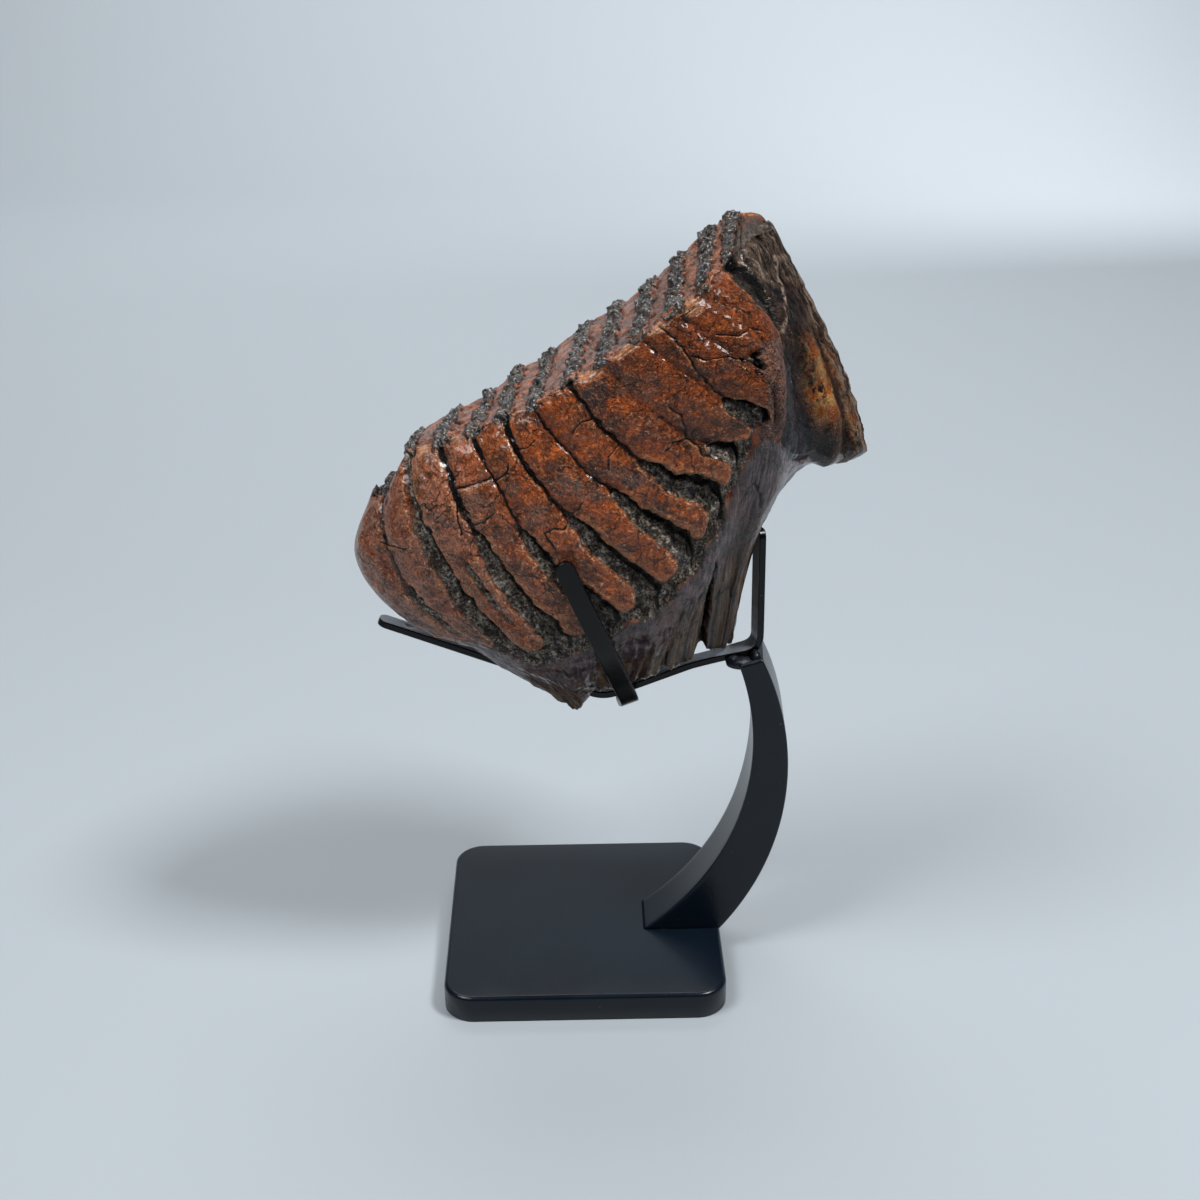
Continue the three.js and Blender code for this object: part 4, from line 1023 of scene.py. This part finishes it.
def molar_surface(settings):
    """The fossil molar. Rings round the tooth give its form; along their normals go the
    grooves, the tongue tips' band, the swell of each plate, the worn enamel ridges of the
    chewing surface, fibres of the root and end face, cracks and rough noise. Returns points in
    millimetres, faces and masks."""
    k = plate_samples()
    points, t, kind, share = tooth_rings(k)
    points = soften_corners(points, kind)
    normal, pitch = ring_normals(points, k)
    kk = k[:, None] * np.ones_like(pitch)
    tt = t[None, :] * np.ones_like(pitch)
    for end in (0, -1):
        tt[end, :SIDE_ROWS] = np.repeat(t[:SIDE_ROWS:FAR_STEP], FAR_STEP)[:SIDE_ROWS]
    near, far, chew, under = ((kind == name) * np.ones_like(pitch)
                              for name in ("near", "far", "chew", "under"))
    sides = near + far
    under_share = np.zeros(len(t))
    under_share[kind == "under"] = np.linspace(0, 1, UNDER_ROWS)
    under_share = under_share[None, :]
    # length of a plate line, from its chewing edge to the root's tip
    rise = 95 + 60 * smooth(2, 9, kk)

    def noise(size, seed):
        return gradient_noise(points, size, seed)

    # the lines wander a little, and the cracks with them
    wobble = noise(13, 1) + 0.5 * noise(4.5, 2) + 0.45 * noise(2.1, 3)
    calm = smooth(0, 0.4, kk) * (1 - smooth(LAST - 0.8, LAST - 0.3, kk))
    warped = kk + wobble * calm / np.maximum(pitch, 4)
    shaken = tt + (0.9 * noise(5.5, 5) + 0.45 * noise(2.3, 6)) / rise

    wander = noise(6, 9)
    fray = 0.7 * noise(4.0, 11) + 0.5 * noise(1.8, 12)
    near_depth, near_half, near_trench = groove_shape(NEAR_GROOVES, warped, t, pitch, wander, fray)
    far_depth, far_half, far_trench = groove_shape(far_grooves(), warped, t, pitch, wander, fray)
    slots, _, _ = groove_shape(ROOT_SLOTS, warped - SLOT_LEAN * (tt - 0.92), t, pitch, wander, fray)
    furrows, _, _ = groove_shape(SIDE_FURROWS, warped, t, pitch, wander, fray)
    depth = settings.groove_depth * (near * np.maximum(near_depth, 0.8 * furrows) + far * far_depth)
    slots = near * slots
    opening = near * near_half + far * far_half
    trenches = near * near_trench + far * far_trench

    # plates swell between the grooves, and each stands a little proud of or behind the next
    part = warped - np.floor(warped)
    middle = 1 - np.abs(2 * part - 1) ** 3
    crown = (1 - smooth(CROWN_EDGE - 0.06, CROWN_EDGE, tt)) * sides
    steps = np.random.default_rng(7).uniform(-0.45, 0.45, LAST + 2)
    number = np.clip(np.floor(warped).astype(int), 0, LAST)
    swell = (1.4 * middle - 0.4 + steps[number]) * crown * smooth(0, 0.06, tt) * calm

    # the tongue tips end round, above a recessed band
    band = TIP_BAND
    ragged = shaken + 0.1 * np.abs(2 * part - 1) ** 2
    in_band = smooth(band["top"] + 0.02, band["top"] + 0.035, ragged)
    low_edge = shaken + 0.035 * noise(7, 25)
    in_band *= 1 - smooth(band["bottom"] - 0.03, band["bottom"] + 0.01, low_edge)
    in_band *= smooth(band["first"] - 1, band["first"], kk) * sides
    in_band *= 1 - smooth(band["last"], band["last"] + 0.7, kk)
    depth = np.maximum(depth, band["depth"] * in_band)

    # worn enamel: crumbly lumps that stand up along each plate line on the chewing surface
    away = np.abs(warped - np.round(warped)) * pitch
    band_half = 2.2 + 0.6 * smooth(4, 9, kk) + 1.6 * noise(4.2, 21) + 0.6 * noise(1.9, 22)
    over_edge = np.maximum(chew, sides * (1 - smooth(0.01, 0.035, tt)))
    enamel = (1 - smooth(band_half - 0.3, band_half + 0.4, away)) * over_edge
    crevice = bell(away - band_half, 0.5, 0.45) * over_edge
    crevice *= smooth(-0.5, 0.4, noise(3.0, 24))
    set_back = np.where(share > 0, 1 - share, 1)[None, :] + 0.03 * noise(5, 23)
    bare_edge = smooth(6.5, 7.5, kk) * (1 - smooth(11, 12, kk))
    enamel *= 1 - (1 - smooth(0.05, 0.1, set_back)) * bare_edge
    blocks = smooth(-0.4, 0.3, noise(3.4, 31))
    ridge = enamel * (0.6 + 1.1 * blocks + 0.7 * noise(1.6, 33)) - WORN_FLATS * over_edge
    pits = over_edge * 1.2 * smooth(0.35, 0.7, noise(3.2, 35))
    rim_share = np.minimum(share, 1 - share)
    lip = (1 - smooth(0.0, 0.05, tt)) * sides + chew * (1 - smooth(0.02, 0.09, rim_share))
    crumble = 0.7 * lip * rough_noise(points, 3.6, 37, 3)

    # frayed fibres at the top of the last plate
    near_top = near + chew * smooth(0.3, 0.5, share)[None, :]
    frayed = smooth(12.0, 12.25, warped) * (1 - smooth(0.13, 0.2, shaken)) * near_top
    frayed = np.maximum(frayed, smooth(11.9, 12.2, warped) * far * (1 - smooth(0.1, 0.2, shaken)))
    enamel *= 1 - 0.7 * frayed

    # end face, hollowed along its middle, and the root with its fibres
    station, face_line, corner_line = np.array(CORNER_BAND).T
    face_from = np.interp(tt, station, face_line)
    low_edge_face = 1 - smooth(0.765, 0.785, shaken)
    end_face = smooth(face_from - 0.12, face_from + 0.12, warped) * low_edge_face * near
    end_face = np.maximum(end_face, smooth(12.45, 12.7, kk) * low_edge_face * far)
    cavity = 2.6 * bell(kk, 12.15, 0.2) - 1.7 * bell(kk, 12.52, 0.12)
    cavity += 0.8 * bell(kk, 12.76, 0.06) - 0.5 * bell(kk, 12.88, 0.05)
    cavity *= smooth(0.25, 0.42, tt) * low_edge_face * near
    root_skin = smooth(CROWN_EDGE - 0.005, CROWN_EDGE + 0.035, shaken) * sides
    root_skin = np.maximum(root_skin, smooth(10.9, 11.4, kk) * smooth(0.735, 0.75, tt) * sides)
    root = root_skin * (1 - end_face)
    corner_from = np.interp(tt, station, corner_line)
    corner = smooth(corner_from - 0.1, corner_from + 0.15, warped) * smooth(0.31, 0.36, shaken)
    corner *= near * (1 - end_face) * (1 - root)
    fibre_place = np.stack([kk * 12, tt * 18, 3 * far], -1)
    fibres = rough_noise(fibre_place, 2.2, 41, 3)
    strands = rough_noise(fibre_place * (1, 4.5, 1), 2.6, 51, 4)
    fringe = (root + under) * smooth(0.86, 0.95, tt)
    columns = rough_noise(fibre_place * (1, 0.6, 1), 4.6, 45, 2)

    ledge = bell(crack_distance(warped, shaken, pitch, rise, [END_LEDGE]), 0, 1.5) * near
    ledge *= smooth(-0.7, 0.1, noise(2.6, 47))
    stain = spots(kk, np.where(share > 0, share, 0)[None, :] + 0 * tt, APEX_STAIN) * chew
    crack = np.where(near > 0, crack_distance(warped, shaken, pitch, rise, CRACKS), 99.0)
    mirrored = crack_distance(FAR_CRACK_FROM - warped, shaken, pitch, rise, CRACKS)
    crack = np.where(far > 0, mirrored, crack)
    split = 0.6 * bell(crack, 0, 0.45) - 0.18 * bell(crack, 0.9, 0.5)

    gravel = np.clip(depth / 0.9, 0, 1) * sides * np.maximum(smooth(1.0, 1.5, opening), in_band)
    lumps = rough_noise(points, 17, 61, 3) + 0.5 * rough_noise(points, 4.5, 65, 3)
    leather = 0.3 * rough_noise(points, 1.9, 69, 2) * sides
    holes = spots(kk, shaken, PIT_SPOTS) * near
    relief = swell - depth - slots + ridge - pits + crumble - cavity - 3 * holes
    relief -= split * (1 - gravel)
    relief += 0.5 * ledge - 0.8 * crevice + 0.25 * rough_noise(points, 2.6, 71, 2) * sides
    relief += settings.lump_height / MM * lumps + leather + 1.3 * gravel * strands
    relief += ((0.4 * root + 0.5 * fringe + 0.8 * end_face + 1.1 * frayed) * fibres
               + (1.3 * fringe + 1.5 * end_face) * columns)
    fade = smooth(0, 0.25, kk) * (1 - smooth(LAST - 0.2, LAST, kk))
    moved = points + normal * (relief * fade)[..., None]

    # broken rims: blocks hang from the root's tip, and the end face's lower edge is chipped
    teeth = rough_noise(np.stack([kk * 12, tt * 6, 9 * far], -1), 3.4, 81, 3)
    hang = smooth(0.93, 1.0, tt) * smooth(2, 4, kk) * calm
    blunt = 1 - 0.93 * smooth(7.35, 7.7, kk)
    line, raised = np.array(ROOT_EDGE, float).T
    edge = hang * (near + under * (1 - smooth(0.2, 0.8, under_share))) * np.interp(kk, line, raised)
    chips = 4.5 * smooth(11.9, 12.2, kk) * bell(tt, CROWN_EDGE, 0.035)
    sag = FLANGE_SAG * smooth(12.3, 12.8, kk) * bell(tt, 0.77, 0.03)
    top = np.maximum(chew, sides * (1 - smooth(0, 0.12, tt)))
    dome = CROWN_DOME * bell(kk, 12.55, 0.4) * top
    moved[..., 2] += (1.5 * hang * blunt + chips * fade) * teeth + edge - sag + dome
    edge_place = np.stack([0 * tt, tt * 140, 0 * tt], -1)
    edge_noise = gradient_noise(edge_place, 5.5, 83)
    edge_noise += 0.5 * gradient_noise(edge_place, 2.3, 84)
    broken = smooth(12.6, 13, kk) * smooth(0.02, 0.1, tt) * (1 - smooth(0.8, 0.84, tt))
    moved[..., 0] += 0.9 * broken * edge_noise
    moved[..., 2] += 0.5 * broken * edge_noise
    moved = clear_of_cradle(moved)

    # what stands above or below its surroundings
    mean = relief
    for _ in range(5):
        mean = (np.roll(mean, 1, 1) + np.roll(mean, -1, 1) + np.roll(mean, 2, 0)
                + np.roll(mean, -2, 0)) / 4
    masks = {
        "plate": warped, "height": tt, "pitch": pitch, "opening": opening, "gravel": gravel,
        "chew": over_edge, "enamel": enamel, "root": np.maximum(root_skin, under),
        "end_face": end_face, "relief": relief - mean, "crack": np.clip(crack, -4, 4),
        "near_crack": 1 - smooth(1, 2, np.abs(crack)), "frayed": frayed, "trench": trenches,
        "pit": np.maximum(holes, np.clip(slots / 2.2, 0, 1)), "crevice": crevice,
        "corner": corner, "ledge": ledge, "stain": stain, "ochre": spots(kk, tt, OCHRE_SPOTS),
    }
    for name, places in SIDE_SPOTS.items():
        masks[name] = spots(kk, tt, places) * sides
    masks["pale_and_highlight"] = np.maximum(masks["pale_and_highlight"], 0.7 * lip * chew)
    faces = grid_faces(*moved.shape[:2])
    return moved.reshape(-1, 3), faces, {name: mask.reshape(-1) for name, mask in masks.items()}


# --- the stand's surfaces ---

def bezier(start, corner, end, steps):
    """Points of a quadratic Bezier arc."""
    u = np.linspace(0, 1, steps)[:, None]
    return (1 - u) ** 2 * start + 2 * u * (1 - u) * corner + u**2 * end


def spine_path():
    """The long strip's centre line: straight runs with an arc at each bend."""
    corners = np.array([(x, SPINE_Y, z) for x, z, _ in SPINE_ROUTE])
    runs = [corners[:1]]
    for i in range(1, len(corners) - 1):
        back = corners[i - 1] - corners[i]
        ahead = corners[i + 1] - corners[i]
        back, ahead = back / np.linalg.norm(back), ahead / np.linalg.norm(ahead)
        reach = SPINE_ROUTE[i][2] / math.tan(math.acos(back @ ahead) / 2)
        runs.append(bezier(corners[i] + reach * back, corners[i], corners[i] + reach * ahead, 24))
    runs.append(corners[-1:])
    return np.concatenate(runs)


def smooth_path(points, steps):
    """A curve through the points, by their distance along it."""
    length = distance_along(points)
    return curve(length, points, np.linspace(0, length[-1], steps))


def prong_paths():
    """Centre lines of the near prong and of the far one, which is its mirror image."""
    near = smooth_path(PRONG, PRONG_STEPS)
    return near, near * (1, -1, 1) + (0, 2 * PRONG_MIRROR_Y, 0)


def strap(path, width_direction, edge, dents=(), twist=None):
    """A flat bar with rounded ends and softened edges along a path. Near each end its width
    follows a half circle. Each dent (distance along, radius, depth) is a bell-shaped hollow in
    the middle of its upper face. twist (start, end, angle) turns it about its path between two
    distances from its far end. Returns points in millimetres, faces and a mask of the upper
    face."""
    half_width, half_thickness = STRIP_WIDTH / 2, STRIP_THICKNESS / 2
    length = distance_along(path)
    turn = np.sin(np.linspace(0.04, 1, 12) * np.pi / 2)
    ends = half_width * (1 - np.sqrt(1 - turn**2))
    middle = np.arange(half_width + STRIP_SPACING, length[-1] - half_width, STRIP_SPACING)
    at = np.concatenate([ends, middle, length[-1] - ends[::-1]])
    width = half_width * np.concatenate([turn, np.ones_like(middle), turn[::-1]])
    stations = np.stack([np.interp(at, length, path[:, i]) for i in range(3)], -1)
    along = np.gradient(stations, at, axis=0)
    along /= np.linalg.norm(along, axis=1, keepdims=True)
    side = np.asarray(width_direction, float) - along * (along @ width_direction)[:, None]
    side /= np.linalg.norm(side, axis=1, keepdims=True)
    up = np.cross(along, side)
    if twist:
        start, end, angle = twist
        turned = (angle * smooth(0, 1, (length[-1] - at - start) / (end - start)))[:, None]
        cos, sin = np.cos(turned), np.sin(turned)
        side, up = cos * side + sin * up, cos * up - sin * side
    section = rounded_section(half_width, half_thickness, edge)
    scaled = section[None] * np.stack([width / half_width, np.ones_like(width)], -1)[:, None, :]
    # both faces ease in at the very tips, so that the ends have no sharp rim
    ease = np.clip(np.minimum(at, length[-1] - at) / edge, 0, 1)
    scaled[..., 1] *= (0.55 + 0.45 * np.sqrt(1 - (1 - ease) ** 2))[:, None]
    for place, radius, deep in dents:
        reach = ((at[:, None] - place) / radius) ** 2 + (scaled[..., 0] / (0.6 * radius)) ** 2
        scaled[..., 1] -= deep * np.exp(-reach) * (scaled[..., 1] > 0)
    rings = stations[:, None] + scaled[..., :1] * side[:, None] + scaled[..., 1:] * up[:, None]
    inner = np.broadcast_to(section[:, 1] > half_thickness * 0.98, scaled.shape[:2])
    return *closed_rings(rings), np.concatenate([inner.reshape(-1), (0, 0)])


def base_surface(half, thickness, edge):
    """The base plate: rounded squares stacked along a profile that runs from the middle of the
    underside out, up the side, over a quarter circle of the edge radius and in again."""
    turn = np.linspace(0, np.pi / 2, 9)
    inset = np.concatenate([[half * 0.96, half * 0.5, 0.6, 0.25, 0.0], edge * (1 - np.cos(turn)),
                            [half * 0.3, half * 0.96]])
    height = np.concatenate([[0, 0, 0, 0.12, 0.45], thickness - edge + edge * np.sin(turn),
                             [thickness, thickness]])
    steps = np.linspace(0, np.pi / 2, 24)
    quarters = ((1, 1, 0), (-1, 1, np.pi / 2), (-1, -1, np.pi), (1, -1, 1.5 * np.pi))
    rings = []
    for cut, z in zip(inset, height):
        r = max(BASE_CORNER - cut, (half - cut) * 0.2)
        c = half - cut - r
        ring = [np.stack([sx * c + r * np.cos(steps + a), sy * c + r * np.sin(steps + a),
                          np.full_like(steps, z)], -1)
                for sx, sy, a in quarters]
        rings.append(np.concatenate(ring))
    return closed_rings(np.array(rings))


def circle_x(circle, z):
    """x of a circle's right-hand side at height z."""
    return circle["x"] + np.sqrt(circle["radius"] ** 2 - (z - circle["z"]) ** 2)


def arm_surface(low, near):
    """The arm: level rows between the two circles, each a rounded rectangle, turned a little
    towards the top."""
    part = np.linspace(0, 1, 120)
    inner_z = low + (ARM_TOP_INNER - low) * part
    outer_z = low + (ARM_TOP_OUTER - low) * part
    inner_x, outer_x = circle_x(ARM_INNER, inner_z), circle_x(ARM_OUTER, outer_z)
    half_y = ARM_WIDTH / 2
    rings = []
    for i in range(len(part)):
        half = (outer_x[i] - inner_x[i]) / 2
        section = rounded_section(half, half_y, ARM_EDGE)
        share = (section[:, 0] + half) / (2 * half)
        z = inner_z[i] + (outer_z[i] - inner_z[i]) * share
        y = near + half_y + section[:, 1]
        twist = ARM_TWIST * smooth(ARM_TWIST_START, ARM_TOP_INNER, z) * (y - near)
        rings.append(np.stack([inner_x[i] + half + section[:, 0] + twist, y, z], -1))
    return closed_rings(np.array(rings))


def weld_bead(centre, half_sizes, seed):
    """One lump of weld: an ellipsoid whose radius swells and shrinks with smooth noise, as
    molten metal does. Returns points in millimetres and faces."""
    turn = np.linspace(0, 2 * np.pi, 64, endpoint=False)[None, :]
    tilt = np.linspace(0.03, np.pi - 0.03, 40)[:, None]
    unit = np.stack([np.sin(tilt) * np.cos(turn), np.sin(tilt) * np.sin(turn),
                     np.cos(tilt) * np.ones_like(turn)], -1)
    points = unit * half_sizes + np.array(centre, float)
    swell = 0.35 * gradient_noise(points, 3.6, seed) + 0.1 * gradient_noise(points, 1.6, seed + 1)
    return closed_rings(points + unit * swell[..., None], inward=True)


# --- settings ---

def colour_property(name, description, default):
    return FloatVectorProperty(name=name, description=description, default=default, size=4, min=0,
                               max=1, subtype="COLOR")


class FossilMolarSettings(bpy.types.PropertyGroup):
    """Relief and colours of the molar."""

    groove_depth: FloatProperty(
        name="Groove depth", description="Scale of the grooves between the plates", default=1.0,
        min=0, max=2)
    lump_height: FloatProperty(
        name="Lump height", description="Height of the uneven surface between the grooves",
        default=1.1 * MM, unit="LENGTH")
    cementum: colour_property("Cementum", "Main red-brown of the sides", tone(166, 77, 28))
    chocolate: colour_property("Chocolate", "Darker brown patches of the sides", tone(98, 50, 28))
    amber: colour_property("Amber", "Lighter brown between the dark patches", tone(208, 98, 30))
    # mauve patches of the sides, partly a painted sheen
    mauve_and_sheen: colour_property("Mauve", "Dull patches of the sides", tone(130, 96, 82))
    rust: colour_property("Rust", "Orange stains", tone(200, 100, 20))
    # the tan of worn lips, which also colours the painted highlight on the crests and on the lit
    # lips of the cracks
    pale_and_highlight: colour_property("Pale", "Tan of worn lips and crests", tone(222, 150, 100))


class FossilStandSettings(bpy.types.PropertyGroup):
    """Edges and paint of the steel stand."""

    base_edge: FloatProperty(
        name="Base edge", description="Radius of the base plate's top edge", default=1.6 * MM,
        unit="LENGTH")
    strip_edge: FloatProperty(
        name="Strip edge", description="Radius of the cradle strips' edges", default=0.35 * MM,
        unit="LENGTH")
    steel_dark: colour_property("Paint, dark", "Darkest tone of the black paint", tone(6, 13, 21))
    steel_light: colour_property("Paint, light", "Lightest tone of the paint", tone(14, 25, 37))
    # light grey of the strips' upper faces
    grey_top: colour_property("Grey top", "Grey of the strips' worn faces", tone(150, 156, 164))


class FossilStageSettings(bpy.types.PropertyGroup):
    """Floor and lights."""

    floor_colour: colour_property("Floor", "Pale floor and backdrop", tone(174, 182, 188))
    key_power: FloatProperty(
        name="Key light", description="Power of the stronger softbox", default=14.0, unit="POWER")
    room_light: FloatProperty(
        name="Room light", description="Strength of the light from all around", default=0.08, min=0)


# --- operators ---

class FOSSIL_OT_stage(bpy.types.Operator):
    """Makes the floor, the lights and the camera"""

    bl_idname = "fossil.stage"
    bl_label = "Stage"

    def execute(self, context):
        settings = context.scene.fossil_stage
        make_backdrop(settings)
        make_lights(settings)
        make_camera()
        return {"FINISHED"}


class FOSSIL_OT_molar(bpy.types.Operator):
    """Makes the fossil molar in full detail"""

    bl_idname = "fossil.molar"
    bl_label = "Molar"

    def execute(self, context):
        settings = context.scene.fossil_molar
        points, faces, masks = molar_surface(settings)
        points, faces, kept = welded(points, faces)
        masks = {name: mask[kept] for name, mask in masks.items()}
        piece = make_mesh("molar", points, faces, fossil_material(settings), masks)
        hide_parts("tooth")
        return {"FINISHED"}


class FOSSIL_OT_base(bpy.types.Operator):
    """Makes the square base plate with its softened edges"""

    bl_idname = "fossil.base"
    bl_label = "Base plate"

    def execute(self, context):
        settings = context.scene.fossil_stand
        low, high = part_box("base_plate")
        half, thickness = (high.x - low.x) / 2 / MM, (high.z - low.z) / MM
        points, faces = base_surface(half, thickness, settings.base_edge / MM)
        piece = make_mesh("base", points, faces, steel_paint(settings))
        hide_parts("base_plate")
        return {"FINISHED"}


class FOSSIL_OT_arm(bpy.types.Operator):
    """Makes the curved arm and the weld at its top"""

    bl_idname = "fossil.arm"
    bl_label = "Arm and weld"

    def execute(self, context):
        settings = context.scene.fossil_stand
        low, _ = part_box("arm")
        points, faces = arm_surface(low.z / MM, low.y / MM)
        piece = make_mesh("arm_bar", points, faces, steel_paint(settings))
        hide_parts("arm")
        paint = weld_material(settings)
        for number, (centre, half_sizes) in enumerate(WELD_BEADS, 1):
            points, faces = weld_bead(centre, half_sizes, 70 + 2 * number)
            make_mesh(f"weld_{number}", points, faces, paint)
        return {"FINISHED"}


class FOSSIL_OT_cradle(bpy.types.Operator):
    """Makes the two bent strips that hold the molar"""

    bl_idname = "fossil.cradle"
    bl_label = "Cradle strips"

    def execute(self, context):
        settings = context.scene.fossil_stand
        edge = settings.strip_edge / MM
        gloss, dark, light = 0.25, (4, 5, 7), (8, 10, 13)
        paint = steel_material("black_paint_grey_top", dark, light, gloss, settings.grey_top)
        points, faces, inner = strap(spine_path(), (0, 1, 0), edge, [TIP_DENT], LEG_TWIST)
        masks = {"grey_top": inner}
        piece = make_mesh("cradle_long_strip", points, faces, paint, masks)
        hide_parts("cradle_spine")
        near, far = prong_paths()
        path = smooth_path(np.concatenate([near[::-1], far]), CROSS_STEPS)
        points, faces, inner = strap(path, CROSS_SIDE, edge)
        masks = {"grey_top": inner}
        piece = make_mesh("cradle_cross", points, faces, paint, masks)
        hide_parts("cradle_cross_strip")
        return {"FINISHED"}


def steel_paint(settings):
    """The base's and the arm's one paint, made the first time that it is asked for."""
    name, gloss = "satin_black_paint", 0.34
    made = bpy.data.materials.get(name)
    return made or steel_material(name, settings.steel_dark, settings.steel_light, gloss)


# --- stage ---

def make_backdrop(settings):
    """A floor that curves up into a wall behind: a profile in y and z carried along x."""
    turn = np.linspace(0, np.pi / 2, 24)
    bend, back, top, wide = 0.9, 1.4, 3.2, 4.0
    profile = np.concatenate([
        [(-2.5, 0.0)], np.stack([back + bend * np.sin(turn), bend * (1 - np.cos(turn))], -1),
        [(back + bend, top)],
    ])
    x = np.linspace(-wide, wide, 3)
    points = np.column_stack([np.repeat(x, len(profile)), np.tile(profile, (3, 1))])
    faces = grid_faces(3, len(profile), wrap_columns=False)[:, ::-1].tolist()
    material, graph = new_material("pale_floor")
    cloud = graph.noise(graph.place(), 0.5, detail=2)
    colour = graph.mix(cloud * 0.2, settings.floor_colour, (168, 176, 184))
    finish_material(graph, {}, Base_Color=colour, Roughness=graph.blend(cloud, 0.6, 0.7))
    floor = link_mesh("floor", points, faces, material)


def put(name, data, axes, place):
    """Adds a light or camera at a place, with its own x, y and z axes as the columns of axes."""
    thing = bpy.data.objects.new(name, data)
    thing.matrix_world = Matrix([[*row, p] for row, p in zip(axes, place)] + [[0, 0, 0, 1]])
    bpy.context.scene.collection.objects.link(thing)
    return thing


def area_light(name, place, target, size, power):
    """A soft square light that faces its target."""
    light = bpy.data.lights.new(name, "AREA")
    light.shape, light.size, light.energy = "SQUARE", size, power
    back = np.subtract(place, target)
    back = back / np.linalg.norm(back)
    right = np.cross((0, 0, 1), back)
    right = right / np.linalg.norm(right)
    put(name, light, np.stack([right, np.cross(back, right), back], -1), place)


def make_lights(settings):
    """Two softboxes above the front corners, the right one smaller and stronger, a large light
    above the floor behind the object, and two that face the wall: one for its middle and a
    small one for the bright band low on its right. The room is dim."""
    for name, (place, target, size, share) in LIGHTS.items():
        area_light(name, place, target, size, share * settings.key_power)
    world = bpy.data.worlds.new("studio")
    world.use_nodes = True
    background = world.node_tree.nodes["Background"].inputs
    background[0].default_value = tone(200, 212, 226)
    background[1].default_value = settings.room_light
    bpy.context.scene.world = world
    bpy.context.scene.view_settings.view_transform = "Standard"


def make_camera():
    """The camera, from its place and its yaw, pitch and roll."""
    yaw, pitch, roll = (math.radians(a) for a in (CAMERA_YAW, CAMERA_PITCH, CAMERA_ROLL))
    level = np.array([math.sin(yaw), math.cos(yaw), 0]) * math.cos(pitch)
    ahead = level + (0, 0, math.sin(pitch))
    right = np.array([math.cos(yaw), -math.sin(yaw), 0])
    up = np.cross(right, ahead)
    cos, sin = math.cos(roll), math.sin(roll)
    data = bpy.data.cameras.new("camera")
    data.lens, data.sensor_width = CAMERA_LENS, SENSOR
    data.clip_start, data.clip_end = NEAREST, FARTHEST
    axes = np.stack([cos * right + sin * up, cos * up - sin * right, -ahead], -1)
    bpy.context.scene.camera = put("camera", data, axes, np.array(CAMERA_PLACE) * MM)


class FOSSIL_PT_panel(bpy.types.Panel):
    """Lists the pieces and their settings"""

    bl_label = "Fossil molar"
    bl_idname = "FOSSIL_PT_panel"
    bl_space_type = "VIEW_3D"
    bl_region_type = "UI"
    bl_category = "Fossil"

    def draw(self, context):
        for group in SETTINGS:
            box = self.layout.box()
            settings = getattr(context.scene, group)
            for name in settings.bl_rna.properties.keys():
                if name not in ("rna_type", "name"):
                    box.prop(settings, name)
        for operator in OPERATORS:
            self.layout.operator(operator.bl_idname)


SETTINGS = {
    "fossil_molar": FossilMolarSettings,
    "fossil_stand": FossilStandSettings,
    "fossil_stage": FossilStageSettings,
}
OPERATORS = (FOSSIL_OT_stage, FOSSIL_OT_base, FOSSIL_OT_arm, FOSSIL_OT_cradle, FOSSIL_OT_molar)


def register():
    for made in (*SETTINGS.values(), *OPERATORS, FOSSIL_PT_panel):
        bpy.utils.register_class(made)
    for name, group in SETTINGS.items():
        setattr(bpy.types.Scene, name, PointerProperty(type=group))


def unregister():
    for name in SETTINGS:
        delattr(bpy.types.Scene, name)
    for made in (FOSSIL_PT_panel, *reversed(OPERATORS), *SETTINGS.values()):
        bpy.utils.unregister_class(made)


def main():
    register()
    bpy.ops.fossil.stage()
    bpy.ops.fossil.base()
    bpy.ops.fossil.arm()
    bpy.ops.fossil.cradle()
    bpy.ops.fossil.molar()


if __name__ == "__main__":
    main()
